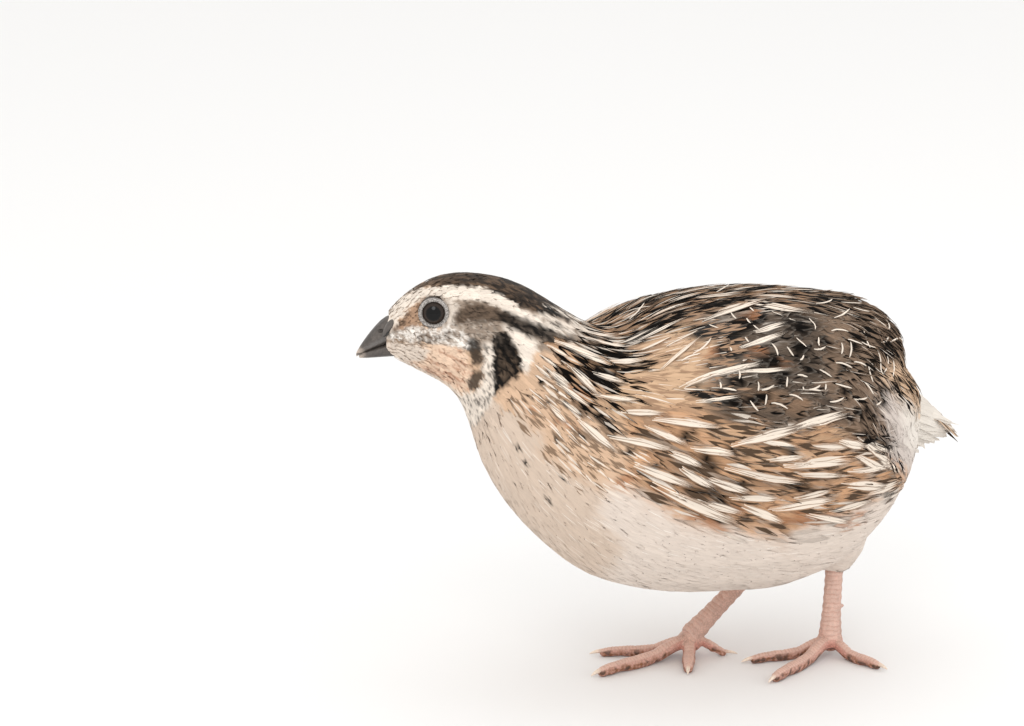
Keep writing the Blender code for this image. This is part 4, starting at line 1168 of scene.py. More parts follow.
def body_colours(places):
    """The colours of the body's coat, at places already moved to the left side."""
    pixels = in_photo(places)
    pixels = pixels + np.stack([mottle(places, 0.0018, 31), mottle(places, 0.0018, 32)], axis=-1) * 1.8
    colour = np.empty((len(places), 3))
    for start in range(0, len(places), AT_ONCE):
        part = slice(start, start + AT_ONCE)
        apart = ((pixels[part, None, :] - kind_places[None]) ** 2).sum(-1)
        pull = 1 / (apart + KIND_BLEND) ** 3
        colour[part] = (pull[:, :, None] * kind_grounds[kind_numbers][None]).sum(1) / pull.sum(1)[:, None]
    uneven = 0.5 + 0.5 * mottle(places, 0.004, 33)
    lay(colour, SHOULDER_BUFF, patch_at(pixels, BUFF_PATCHES) * 0.7)
    lay(colour, MANTLE_BROWN, patch_at(pixels, BROWN_PATCHES) * (0.5 + 0.4 * uneven))
    lay(colour, RUFOUS, patch_at(pixels, RUFOUS_PATCHES) * (0.6 + 0.4 * uneven))
    lay(colour, BLACK, patch_at(pixels, DARK_PATCHES) * (1.25 + 0.6 * uneven))
    for start_x, start_y, end_x, end_y, half in PALE_FEATHERS:
        start, end = (start_x, start_y), (end_x, end_y)
        lay(colour, BLACK, on_stroke(pixels - (0, STREAK_SHADE), start, end, half + 0.8) * 0.45)
        lay(colour, CREAM, on_stroke(pixels, start, end, half) * 0.3)
    lay_strokes(colour, pixels, NAPE_LINES, None, 0.85)
    lay(colour, BELLY_CREAM, below_tail(places))
    return colour


NOSTRIL_COVER = (
    (372, 330), (382, 315), (388, 317), (395, 323), (397, 328), (391, 333), (384, 340), (376, 342),
)
FACE_GAP = 0.6
NECK_GAP = 0.8
FACE_STRETCH = 2.2
HEAD_TURN = math.radians(30.0)
LID_RADIUS = 0.00335
LID_STRAND = 0.00052
EYE_AXIS = {
    "left": unit(np.array((-math.sin(HEAD_TURN), -math.cos(HEAD_TURN), 0.06))),
    "right": unit(np.array((math.sin(HEAD_TURN), math.cos(HEAD_TURN), 0.06))),
}
LID_MARGIN = 0.0002
BARE_REACH = 0.012
kind_spread = np.array([FEATHER_KINDS[name][:2] for name in KIND_NAMES])


def over_eye(places):
    """Whether places lie over the glass or the lids of an eye."""
    over = np.zeros(places.shape[:-1], bool)
    for side, middle in EYE_MIDDLE.items():
        off = places - middle
        run = off @ EYE_AXIS[side]
        aside = np.linalg.norm(off - run[..., None] * EYE_AXIS[side], axis=-1)
        over |= (aside < LID_RADIUS + LID_STRAND + LID_MARGIN) & (run > 0) & (run < BARE_REACH)
    return over


def spread_at(places):
    """How far apart the feathers are rooted across and along the lie at each place; none grow on the eyes."""
    kinds = kinds_at(places)
    from_bill = np.linalg.norm(places - BILL_ROOT, axis=1)
    face = FACE_GAP + (NECK_GAP - FACE_GAP) * ease(from_bill, 0.010, 0.035)
    gap = np.where(kinds < 0, face, kind_spread[np.maximum(kinds, 0), 0]) / 1000
    stretch = np.where(kinds < 0, FACE_STRETCH, kind_spread[np.maximum(kinds, 0), 1])
    gap = np.where(over_eye(places), 0, gap)
    bare = inside(in_photo(on_left_side(places)), NOSTRIL_COVER, 1) > 0.5
    return np.where(bare & (from_bill < BARE_REACH), 0, gap), stretch


ROOTS_TRIED = 130000
roots, _, lie = roots_on_skin(ROOTS_TRIED, spread_at, 5)
root_kinds = kinds_at(roots)
draw = np.random.default_rng(8)


def blunt(v):
    """The half width along a body feather: narrow at the root, widest past the middle, rounded at the tip."""
    return (0.30 + 0.70 * ease(v, 0.0, 0.6)) * np.sqrt(np.clip(1 - ((v - 0.55) / 0.47) ** 4, 0.02, 1))


def ribbon(v):
    """The half width along a soft tuft: wide from its root on, with a narrower tip."""
    return (0.7 + 0.3 * ease(v, 0.0, 0.3)) * (1 - ease(v, 0.55, 1.05) * 0.8)


def lance(v):
    """The half width along a long, pointed feather."""
    return (0.35 + 0.65 * ease(v, 0.0, 0.5)) * np.clip(1 - ease(v, 0.5, 1.05) * 0.93, 0.05, 1)


def blade(v):
    """The half width along a fine, pale shaft: nearly even, with a short, blunt tip."""
    return (0.5 + 0.5 * ease(v, 0.0, 0.3)) * (1 - ease(v, 0.75, 1.05) * 0.75)


def put_colours(piece, name, *values):
    """Keeps a colour at each point of a piece, as red, green and blue, with a share in the alpha or 1."""
    layer = piece.data.attributes.new(name, "FLOAT_COLOR", "POINT")
    colours = np.ones((len(piece.data.vertices), 4), np.float32)
    for number, value in enumerate(values):
        colours[:, number] = value
    layer.data.foreach_set("color", colours.ravel())


def coat_piece(name, path, outward, widths, shape, camber, follow, finish, brightness, dark, pale,
               plan=(0, 0, 0, 0), plan_two=(0, 0, 0, 0), colours=body_colours, scatter=0.0, **blades):
    """One piece of the coat, with a ground by place and marks by feather. `plan` holds the pale streak's
    width and strength, the dark share and its bars; `plan_two` the corner marks, the fringe and two chances.
    A mark is one value for all or one for each feather. `scatter` moves a feather's place, so that patches of
    colour end in feathers."""
    piece, grid = lay_feathers("coat_" + name, path, outward, widths, shape, camber, follow, **blades)
    each = grid.shape[1] * grid.shape[2]
    moved = grid + draw.normal(size=(len(grid), 1, 1, 3)) * scatter
    ground = colours(on_left_side(moved.reshape(-1, 3)))
    put_colours(piece, "ground", *(ground * np.repeat(brightness + np.zeros(len(grid)), each)[:, None]).T)
    for layer, marks in (("dark", dark), ("pale", pale), ("plan", plan), ("plan_two", plan_two)):
        put_colours(piece, layer, *(np.repeat(mark + np.zeros(len(grid)), each) for mark in marks))
    piece.data.materials.append(finish)
    coat[name] = piece


def tail_colours(places):
    """The ground of the tail's vanes, dark towards the thin tips."""
    back = ease(bench_values(places)[0], -77.0, -81.5)[:, None]
    return TAIL_BROWN + (CROWN_BROWN - TAIL_BROWN) * back + 0 * places


def all_of(tone):
    """One ground for every place."""
    return lambda places: np.tile(tone, (len(places), 1))


ROOT_DEPTH = -0.0004
POINTED = ("nape", "mantle", "flank", "rump", "plume", "undertail", "breast", "belly", "chest")
coat = {}
for number, name in enumerate(KIND_NAMES):
    (_, _, length, width, streak_width, streak_share, dark_amount, dark_turns, corner, fringe_amount, stand,
     _, dark_tone, pale_tone, finish) = FEATHER_KINDS[name]
    these = root_kinds == number
    count = int(these.sum())
    vary = draw.random((count, 8))
    lengths = length / 1000 * (0.82 + 0.36 * vary[:, 0])
    from_end = (along_line(roots[these]) - LINE_AHEAD[0]) / 1000
    lengths = np.minimum(lengths, np.maximum(from_end * 0.9, 0.004))
    widths = width / 1000 * (0.85 + 0.3 * vary[:, 1])
    depth = coat_depth_at(roots[these]) * stand
    soft = finish is soft_finish
    loose = name == "rump"
    path, outward = feather_paths(
        roots[these], lie[these], lengths, ROOT_DEPTH,
        depth * ((0.94 + 0.08 * vary[:, 2]) if soft else (0.86 + 0.25 * vary[:, 2])),
        7 if length > 11 else 6, rise=0.1 if soft else 0.5, curl=(vary[:, 3] - 0.5) * (1.2 if loose else 0.3),
        free=0.1 if loose else 0.0, tuck=0.05 if soft else 0.0,
    )
    brightness = (0.96 + 0.08 * vary[:, 4]) if soft else (0.84 + 0.32 * vary[:, 4])
    over_plain = np.isin(kinds_at(path[:, -1]), PLAIN_KINDS)
    plan = (
        streak_width * (0.7 + 0.6 * vary[:, 1]), (vary[:, 5] < streak_share) * (0.7 + 0.3 * vary[:, 6]),
        np.where(over_plain, 0, np.clip(dark_amount * (0.2 + 1.6 * vary[:, 2]), 0, 1)),
        dark_turns * (0.7 + 0.6 * vary[:, 0]),
    )
    coat_piece(
        name, path, outward, widths, ribbon if soft else lance if name in POINTED else blunt,
        0.06 if soft else 0.3, 0.85 if soft else 0.55, finish, brightness, dark_tone, pale_tone, plan,
        (vary[:, 7] < corner, fringe_amount, vary[:, 6], vary[:, 3]), scatter=0.0004 if soft else 0.0007,
        across=5 if width > 2.2 else 3, tip_fray=0.25, edge_fray=0.08, seed=30 + number,
    )

# The streaked feathers stand a little proud of the coat.
STREAK_CREAM = tint(244, 230, 214)
ROOT_HIDDEN = 0.25


def both_sides(starts, ends):
    """Streaks of the left side, each followed by its mirror image: their roots, directions and lengths."""
    runs = np.repeat(np.array((starts, ends)), 2, axis=1)
    runs[:, 1::2] *= (1, -1, 1)
    return runs[0], unit(runs[1] - runs[0]), np.linalg.norm(runs[1] - runs[0], axis=1)


pale_starts, pale_ends, pale_widths = [], [], []
for start_x, start_y, end_x, end_y, half in PALE_FEATHERS:
    run = np.array((end_x - start_x, end_y - start_y), float)
    aside = unit(np.array((-run[1], run[0])))
    strands = 2 + int(1.3 * half)
    for strand in range(strands):
        shift = half * (2 * strand / (strands - 1) - 1)
        early, late = 0.16 * draw.random(2)
        start, _ = seen_on_skin((start_x, start_y) - run * (ROOT_HIDDEN - early) + aside * shift * 0.45)
        end, _ = seen_on_skin((end_x, end_y) - run * late * abs(shift) / half + aside * shift * 0.6)
        if start is not None and end is not None:
            pale_starts.append(start)
            pale_ends.append(end)
            pale_widths.append((0.45 * half + 0.9) * VIEW_DISTANCE / PIXELS * 2)
pale_roots, directions, lengths = both_sides(pale_starts, pale_ends)
vary = draw.random((len(pale_roots), 8))
depth = coat_depth_at(pale_roots)
path, outward = feather_paths(
    pale_roots, directions, lengths, depth * 0.6, depth * (1.35 + 0.4 * vary[:, 2]), 9, rise=0.4)
coat_piece(
    "pale", path, outward, np.repeat(pale_widths, 2), lance, 0.12, 0.85, soft_finish,
    0.85 + 0.12 * vary[:, 4], BLACK, (STREAK_CREAM * (0.86 + 0.14 * vary[:, 5:6])).T,
    (0.75, 1, 0, 1.2 + vary[:, 2]), (0, 0, vary[:, 6], vary[:, 3]),
    across=5, tip_fray=0.3, edge_fray=0.08, seed=77,
)

# Pale shafts and hooked marks, fine as threads, lie on the wings and the rump.
PALE_SHAFTS = (
    (730, 315, 737, 323), (746, 321, 747, 327), (709, 328, 715, 333), (744, 339, 746, 344),
    (729, 349, 733, 354), (753, 328, 756, 333), (749, 310, 753, 315), (771, 314, 777, 320),
    (788, 321, 792, 325), (808, 321, 815, 333), (771, 346, 780, 356), (786, 349, 791, 358),
    (795, 340, 801, 350), (802, 356, 801, 364), (817, 339, 817, 349), (796, 376, 805, 376),
    (719, 383, 722, 389), (722, 389, 735, 389), (738, 372, 742, 381), (756, 382, 759, 392),
    (760, 391, 774, 391), (786, 378, 784, 388), (765, 396, 765, 407), (749, 402, 754, 412),
    (801, 387, 802, 392), (788, 396, 801, 396), (809, 390, 819, 390), (846, 341, 860, 344),
    (860, 344, 872, 354), (849, 344, 852, 362), (879, 344, 889, 345), (888, 344, 898, 340),
    (876, 353, 879, 378), (884, 355, 889, 378), (840, 345, 844, 358), (834, 364, 849, 362),
    (852, 363, 863, 361), (862, 333, 869, 351), (817, 371, 830, 372), (834, 385, 849, 391),
    (807, 391, 818, 390), (863, 384, 871, 394), (853, 399, 864, 404), (879, 401, 875, 409),
    (824, 385, 825, 392), (833, 321, 850, 314), (852, 310, 868, 318), (870, 318, 882, 330),
    (884, 322, 893, 336), (830, 333, 842, 328), (812, 350, 826, 354), (828, 402, 842, 404),
    (770, 404, 786, 402), (890, 360, 893, 380), (866, 366, 870, 384), (815, 306, 838, 309),
    (840, 305, 862, 309), (780, 292, 815, 296), (708, 292, 745, 292), (620, 318, 650, 306),
    (682, 363, 697, 353), (693, 356, 716, 346), (667, 349, 700, 336),
)
SHAFT_WIDTH = 0.00046
seen = [(seen_on_skin((x, y))[0], seen_on_skin((end_x, end_y))[0]) for x, y, end_x, end_y in PALE_SHAFTS]
seen = [(start, end) for start, end in seen if start is not None and end is not None]
shaft_roots, directions, lengths = both_sides(*zip(*seen))
count = len(shaft_roots)
depth = coat_depth_at(shaft_roots)
path, outward = feather_paths(
    shaft_roots, directions, lengths, depth * 1.3, depth * 1.75, 7, rise=0.5,
    curl=(draw.random(count) - 0.5) * 1.6)
coat_piece(
    "shafts", path, outward, np.full(count, SHAFT_WIDTH), blade, 0.3, 0.4, soft_finish,
    0.85 + 0.15 * draw.random(count), BLACK, CREAM, colours=all_of(STREAK_CREAM), across=3, seed=78,
)

face = root_kinds < 0
count = int(face.sum())
vary = draw.random((count, 6))
from_bill = np.linalg.norm(roots[face] - BILL_ROOT, axis=1)
grown = ease(from_bill, 0.008, 0.045)
lengths = (0.0025 + 0.0045 * grown) * (0.8 + 0.4 * vary[:, 0])
widths = (0.0010 + 0.0011 * grown) * (0.8 + 0.4 * vary[:, 1])
FACE_STEPS = 6
FACE_ROOT_DEPTH = -0.0002
depth = coat_depth_at(roots[face]) * (0.94 + 0.12 * vary[:, 2])
for attempt in range(2):
    path, outward = feather_paths(
        roots[face], lie[face], lengths, FACE_ROOT_DEPTH, depth, FACE_STEPS, rise=0.1,
        curl=(vary[:, 3] - 0.5) * 0.5, tuck=0.05,
    )
    if attempt == 0:
        clear = ~over_eye(path)
        lengths = lengths * np.clip(clear.cumprod(axis=1).sum(axis=1) / FACE_STEPS, 0.1, 1)
crown = inside(in_photo(on_left_side(path[:, 3])), FOREHEAD, 6)
coat_piece(
    "face", path, outward, widths, ribbon, 0.06, 0.8, face_finish,
    1 + (vary[:, 4] - 0.5) * (0.2 + 0.9 * crown), BLACK, WHITE,
    plan_two=(0, 0, vary[:, 5], vary[:, 3]), colours=face_colours, scatter=0.00012,
    across=3, tip_fray=0.3, edge_fray=0.1, seed=29,
)

# The tail's own feathers: a short fan of barred vanes that droops, over white, fluffy feathers below it.
TAIL_FAN = 3
TAIL_VANE_WIDTH = 0.0056
vanes = np.arange(-TAIL_FAN, TAIL_FAN + 1)
tail_low, tail_mid, tail_tip = (
    np.stack([bench(ahead - 0.1 * vane ** 2, spread * vane, up - sink * vane ** 2) for vane in vanes])
    for ahead, spread, up, sink in (
        (-56.0, 1.1, 69.3, 0.15), (-68.0, 1.5, 62.8, 0.2), (-78.0, 1.2, 55.0, 0.25),
    )
)
tail_bend = 2 * tail_mid - (tail_low + tail_tip) / 2
share = np.linspace(0, 1, 12)[None, :, None]
path = (tail_low[:, None] * (1 - share) ** 2 + tail_bend[:, None] * 2 * share * (1 - share)
        + tail_tip[:, None] * share ** 2)
outward = unit(np.stack([np.stack([0.55 + 0 * vanes, -0.10 * vanes, 0.8 + 0 * vanes], axis=-1)] * 12, axis=1))
path += outward * (0.0009 - 0.0002 * np.abs(vanes))[:, None, None]
chance = np.random.default_rng(92).random((len(vanes), 3))
coat_piece(
    "tail_vanes", path, outward, np.full(len(vanes), TAIL_VANE_WIDTH), blunt, 0.25, 0.3, back_finish,
    0.85 + 0.2 * chance[:, 0], CROWN_BROWN, CREAM, (0.08, 0.8, 0.6, 4.5 + chance[:, 1]),
    (0, 0.5, chance[:, 1], chance[:, 2]), tail_colours, across=7, tip_fray=0.2, edge_fray=0.03, seed=91,
)

UNDERTAIL = (
    (903, 398, 944, 421, 7.5), (902, 403, 948, 426, 7), (900, 409, 948, 427, 6), (900, 415, 947, 429, 6),
    (898, 423, 942, 434, 5), (896, 431, 934, 440, 5), (897, 437, 922, 446, 5), (905, 407, 946, 425, 8),
    (903, 413, 945, 427, 8), (900, 421, 940, 432, 7), (897, 429, 932, 439, 7), (896, 437, 918, 447, 6),
    (905, 400, 938, 416, 8.5), (902, 410, 940, 424, 8.5), (899, 420, 932, 434, 8), (898, 428, 926, 441, 7),
)
TUFTS = 5
TAIL_POINT_WIDTH = 0.0009
TAIL_POINTS = ((934, 413, 954, 430, 3), (936, 420, 958, 442, 2), (934, 417, 951, 434, 1))


def on_middle_plane(pixel, left):
    """Where the sight line of a pixel meets the upright plane that lies `left` of the bird's middle."""
    line = sight_line(pixel)
    return VIEW_PLACE + line * ((-left / 1000 - VIEW_PLACE[1]) / line[1])


starts = np.array([on_middle_plane((x, y), left) for x, y, _, _, left in UNDERTAIL])
ends = np.array([on_middle_plane((x, y), left * 0.6) for _, _, x, y, left in UNDERTAIL])
starts, ends = (np.concatenate([both, both * (1, -1, 1)]) for both in (starts, ends))
fluff = np.random.default_rng(93)
starts = np.repeat(starts, TUFTS, axis=0)
starts += fluff.normal(size=starts.shape) * (0.0012, 0.0004, 0.0012)
ends = np.repeat(ends, TUFTS, axis=0)
ends += fluff.normal(size=ends.shape) * (0.0008, 0.0003, 0.0008)
share = np.linspace(0, 1, 7)[None, :, None]
path = starts[:, None] * (1 - share) + ends[:, None] * share
outward = unit(np.array([(0.3, 0.9 * sign, 0.1) for sign in np.sign(starts[:, 1])]))
outward = np.repeat(outward[:, None], 7, axis=1)
path += outward * (0.0008 * np.sin(share * math.pi))
widths = 0.0022 + 0.0012 * fluff.random(len(path))
chance = fluff.random((len(path), 3))
coat_piece(
    "undertail_plumes", path, outward, widths, ribbon, 0.06, 0.9, soft_finish, 0.94 + 0.1 * chance[:, 0],
    PLUME_LILAC, WHITE, plan_two=(0, 0, chance[:, 1], chance[:, 2]), colours=all_of(TAIL_WHITE),
    across=3, tip_fray=0.4, edge_fray=0.12, seed=94,
)

starts = np.array([on_middle_plane((x, y), left) for x, y, _, _, left in TAIL_POINTS])
ends = np.array([on_middle_plane((x, y), left) for _, _, x, y, left in TAIL_POINTS])
path = starts[:, None] * (1 - share) + ends[:, None] * share
outward = np.tile(unit(np.array((0.2, -0.95, 0.2))), (len(starts), 7, 1))
coat_piece(
    "tail_points", path, outward, np.full(len(starts), TAIL_POINT_WIDTH), lance, 0.3, 0.3, back_finish, 1.0,
    BLACK, BLACK, colours=all_of(CROWN_BROWN * 0.5), across=3, seed=95,
)

for name, piece in coat.items():
    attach(piece, "root")
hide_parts("wing_left", "wing_right")
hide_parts("tail")

# The skin takes the same markings as the coat over it.
skin_places = points_of(skin)
skin_kinds = kinds_at(skin_places)
left_places = on_left_side(skin_places)
skin_tones = np.where((skin_kinds < 0)[:, None], face_colours(left_places), body_colours(left_places))
put_colours(skin, "ground", *skin_tones.T)
skin_finish, tree, surface = new_finish("tinted skin", Roughness=0.9)
tree.links.new(carried(tree)[0], surface.inputs["Base Color"])
skin.data.materials.append(skin_finish)

# The eyes
# Each is a dark glass eye, black pupil in a very dark brown iris, set behind a ring of bare, beaded grey lid
# skin. The lids of the model are cast with the skin and painted; here the ring and its beads are their own
# small piece.
EYE_RADIUS = 0.00395
PUPIL_RADIUS = 0.0019
SKIN_UNDER_GLASS = 0.0033
SKIN_DIP = 0.0008
DIP_MARGIN = 0.0003
DIP_REACH = 0.008
skin_places = points_of(skin)
for side, middle in EYE_MIDDLE.items():
    axis = EYE_AXIS[side]
    off = skin_places - middle
    run = off @ axis
    aside = np.linalg.norm(off - run[:, None] * axis, axis=1)
    away = np.linalg.norm(off, axis=1)
    near_eye = (run > 0) & (away < DIP_REACH)
    sunk = near_eye & (aside < LID_RADIUS + DIP_MARGIN)
    dip = SKIN_DIP * (1 - ease(aside, LID_RADIUS + DIP_MARGIN, LID_RADIUS + DIP_MARGIN + 0.001)) * near_eye
    skin_places = np.where(
        sunk[:, None], middle + off * (SKIN_UNDER_GLASS / away)[:, None], skin_places - axis * dip[:, None])
put_points(skin, skin_places)

BEAD_COUNT = 34
BEAD_RADIUS = 0.00021
for side, middle in EYE_MIDDLE.items():
    axis = EYE_AXIS[side]
    eye = new_form(bpy.ops.mesh.primitive_uv_sphere_add, segments=64, ring_count=40, radius=EYE_RADIUS,
                   location=middle, rotation=turned_to(axis))
    eye.name = eye.data.name = "glass_eye_" + side
    smooth_shaded(eye)
    finish, tree, surface = new_finish("dark glass eye " + side, Roughness=0.06, IOR=1.33)
    place = add(tree, "ShaderNodeTexCoord")
    apart = add(tree, "ShaderNodeVectorMath", operation="DISTANCE")
    tree.links.new(place.outputs["Object"], apart.inputs[0])
    apart.inputs[1].default_value = middle + axis * EYE_RADIUS
    flecks = noise_of(tree, place.outputs["Object"], 2600.0, 3.0)
    iris_edge = step_between(tree, sum_of(tree, "MULTIPLY_ADD", flecks, 0.0003, apart.outputs["Value"]),
                             PUPIL_RADIUS, PUPIL_RADIUS + 0.00035)
    iris_tone = blend_of(tree, flecks, (0.012, 0.008, 0.006, 1), (0.045, 0.03, 0.022, 1))
    eye_tone = blend_of(tree, iris_edge, (0.001, 0.001, 0.001, 1), iris_tone)
    tree.links.new(eye_tone, surface.inputs["Base Color"])
    eye.data.materials.append(finish)
    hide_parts("eye_" + side)
    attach(eye, "root")

    ring_middle = middle + axis * math.sqrt(EYE_RADIUS ** 2 - (LID_RADIUS - LID_STRAND) ** 2) * 0.98
    beads = [new_form(bpy.ops.mesh.primitive_torus_add, major_segments=72, minor_segments=14,
                      major_radius=LID_RADIUS, minor_radius=LID_STRAND, location=ring_middle,
                      rotation=turned_to(axis))]
    draw = np.random.default_rng(41)
    level = unit(np.cross(axis, (0, 0, 1.0)))
    rise = np.cross(level, axis)
    for row, row_radius in enumerate((LID_RADIUS - 0.00022, LID_RADIUS + 0.00036)):
        for index in range(BEAD_COUNT + 6 * row):
            turn = 2 * math.pi * (index + 0.5 * row) / (BEAD_COUNT + 6 * row)
            spot = ring_middle + (level * math.cos(turn) + rise * math.sin(turn)) * row_radius
            spot = spot + axis * LID_STRAND * (0.82 - 0.34 * row)
            radius = BEAD_RADIUS * (0.8 + 0.4 * draw.random())
            bpy.ops.mesh.primitive_ico_sphere_add(subdivisions=2, radius=radius, location=spot)
            beads.append(bpy.context.active_object)
    lids = joined(beads, "lid_ring_" + side)
    smooth_shaded(lids)
    finish, tree, surface = new_finish("bare lid skin " + side, Roughness=0.55)
    worn = step_between(tree, grain_of(tree, 3200.0), 0.35, 0.65)
    lid_tone = blend_of(tree, worn, (0.14, 0.125, 0.115, 1), (0.50, 0.465, 0.435, 1))
    tree.links.new(lid_tone, surface.inputs["Base Color"])
    lids.data.materials.append(finish)
    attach(lids, "root")

# The bill
# Two halves of dark horn, closed, with a ridge along the culmen and a soft cover over each nostril. On the
# model they are cast in tinted resin and pinned to the skull; the feathers of the face lie over their roots.
HORN_GREY = tint(88, 81, 76)
HORN_DARK = tint(58, 53, 50)
HORN_BLUE = tint(104, 100, 97)
HORN_TIP = tint(196, 180, 166)
HORN_VOXEL = 0.00016
HEAD_PIVOT = (11.0, 23.2)
NOSTRIL_PLACE = (388, 328.5)
NOSTRIL_RUN = (0.77, -0.64)
NOSTRIL_SIZE = (0.0028, 0.0013, 0.0006)
NOSTRIL_SLIT = ((396, 326), (383.5, 337))
MOUTH = ((356, 355), (363, 352.6), (371, 349.4), (380, 344.6), (390, 341.2), (404, 341.5))
MOUTH_EDGE = ((360, 350), (372, 343), (384, 337), (392, 338), (384, 342), (372, 347))
CULMEN = ((356, 354), (362, 343), (370, 331), (378, 322.5), (386, 316.5))


def mirrored_places(places):
    """Places on the head's left side moved to their mirror places on its right side."""
    ahead, left, up = bench_values(places)
    aside = (ahead - HEAD_PIVOT[0]) * math.sin(HEAD_TURN) + (left - HEAD_PIVOT[1]) * math.cos(HEAD_TURN)
    return bench(ahead - 2 * aside * math.sin(HEAD_TURN), left - 2 * aside * math.cos(HEAD_TURN), up)


cover_place, cover_normal = seen_on_skin(NOSTRIL_PLACE)
cover_run = VIEW_RIGHT * NOSTRIL_RUN[0] - VIEW_UP * NOSTRIL_RUN[1]
cover_run = unit(cover_run - cover_normal * (cover_run @ cover_normal))
cover_side = np.cross(cover_normal, cover_run)
cover = new_form(bpy.ops.mesh.primitive_uv_sphere_add, segments=32, ring_count=20, radius=1.0)
shape = points_of(cover) * NOSTRIL_SIZE
put_points(cover, cover_place + shape @ np.array((cover_run, cover_side, cover_normal)))
bpy.ops.object.duplicate()
other_cover = bpy.context.active_object
put_points(other_cover, mirrored_places(points_of(other_cover)))
bpy.ops.object.mode_set(mode="EDIT")
bpy.ops.mesh.select_all(action="SELECT")
bpy.ops.mesh.flip_normals()
bpy.ops.object.mode_set(mode="OBJECT")


def bill_colours(places):
    """The colours of the horn, at places already moved to the left side."""
    pixels = in_photo(places)
    grain = mottle(places, 0.0011, 51)
    pixels = pixels + np.stack([grain, mottle(places, 0.0011, 52)], axis=-1) * 0.5
    colour = np.tile(HORN_GREY, (len(places), 1)) * (1 + 0.16 * grain[:, None])
    for start, end in zip(CULMEN, CULMEN[1:]):
        lay(colour, HORN_DARK, on_stroke(pixels, start, end, 4.2, 6) * 0.75)
    lay(colour, HORN_BLUE, inside(pixels, MOUTH_EDGE, 3) * 0.8)
    lay(colour, HORN_DARK, ease(pixels[:, 1], 350, 356) * ease(pixels[:, 0], 366, 376) * 0.6)
    lay(colour, HORN_TIP, 1 - ease(np.hypot(pixels[:, 0] - 355, pixels[:, 1] - 355), 3, 13))
    for start, end in zip(MOUTH, MOUTH[1:]):
        lay(colour, HORN_DARK, on_stroke(pixels, start, end, 1.1, 1.2) * 0.8)
    lay(colour, BLACK, on_stroke(pixels, *NOSTRIL_SLIT, 1.3, 1.2))
    return colour


horn, tree, surface = new_finish("bill horn")
place = add(tree, "ShaderNodeTexCoord")
scratches = add(tree, "ShaderNodeMapping")
scratches.inputs["Scale"].default_value = (900.0, 2600.0, 2600.0)
scratches.inputs["Rotation"].default_value = (0.0, -0.75, HEAD_TURN)
tree.links.new(place.outputs["Object"], scratches.inputs["Vector"])
wear = noise_of(tree, scratches.outputs[0], 1.0, 4.0, 0.6)
shade = step_between(tree, wear, 0.3, 0.7, 0.82, 1.2)
tree.links.new(shaded_by(tree, carried(tree)[0], shade), surface.inputs["Base Color"])
tree.links.new(step_between(tree, wear, 0.3, 0.7, 0.34, 0.52), surface.inputs["Roughness"])
raised_by(tree, wear, surface, 0.35, 0.0001)

LOWER_LIFT = 0.0005
LOWER_REACH = 0.07
SLIT_DEPTH = 0.00022
BILL_RUN = np.array((-math.cos(HEAD_TURN), math.sin(HEAD_TURN), 0.0))
for name, extra in (("bill_upper", [cover, other_cover]), ("bill_lower", [])):
    half = joined([solid_copy(name)] + extra, name + "_horn")
    work(half, "REMESH", mode="VOXEL", voxel_size=HORN_VOXEL)
    work(half, "SMOOTH", factor=0.5, iterations=7)
    places = points_of(half)
    if extra:
        groove = on_stroke(in_photo(on_left_side(places)), *NOSTRIL_SLIT, 1.2, 1.6)
        ridge = normals_of(half)[:, 2] > 0.2
        places = places - normals_of(half) * (SLIT_DEPTH * groove * ~ridge)[:, None]
    else:
        top = ease(normals_of(half)[:, 2], 0.1, 0.5)
        places[:, 2] += LOWER_LIFT * top
        ahead = np.clip((places - BILL_ROOT) @ BILL_RUN, 0, None)
        places = places + BILL_RUN * (LOWER_REACH * ahead)[:, None]
    put_points(half, places)
    smooth_shaded(half)
    put_colours(half, "ground", *bill_colours(on_left_side(places)).T)
    half.data.materials.append(horn)
    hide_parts(name)
    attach(half, "root")

# The legs
# Bare, scaled legs: a row of plates down the front of each shank and along each toe, small round scales on
# the sides and back, and padded soles that have walked in soil. Cast in tinted resin over a steel core, and
# painted.
FEET = {
    "left": ((-35.2, 10.3, 5.2), (-36.3, 10.6, 31.0), 55.0, (
        ("outer", 104.0, 17.0, 1.5), ("middle", 27.5, 28.0, 1.7),
        ("inner", -7.0, 22.0, 1.5), ("hind", 226.0, 7.0, 1.15),
    )),
    "right": ((-2.2, -7.0, 5.0), (-25.5, -7.6, 23.5), 14.0, (
        ("outer", -23.5, 23.0, 1.5), ("middle", 10.0, 30.0, 1.8),
        ("inner", 58.0, 15.5, 1.7), ("hind", 144.0, 9.0, 1.2),
    )),
}
LEG_VOXEL = 0.00024
LEG_GAP = 0.00018
TOE_TIP = 0.74
CLAW_SINK = 0.0009
CLAW_VOXEL = 0.00013
NUB_RADIUS = 0.0008
SHANK_PLATE = 0.00125
TOE_PLATE = 0.00095
PLATE_RELIEF = 0.00016
PAD_RELIEF = 0.00016
TOE_PADS = 3.5
SKIN_PINK = tint(212, 173, 157)
PLATE_PALE = tint(226, 198, 184)
# Painted shade: a deeper rose for the creases between the plates and the undersides of the toes.
ROSE_SHADE = tint(184, 128, 112)
# Painted shade: a deeper rose for the sides and undersides of the toes, most where they meet.
SIDE_SHADE_ROSE = tint(212, 146, 130)
SOIL = tint(140, 88, 54)
SOIL_DARK = tint(66, 46, 36)
CLAW_HORN = tint(234, 216, 198)
CLAW_ROOT = tint(206, 156, 138)

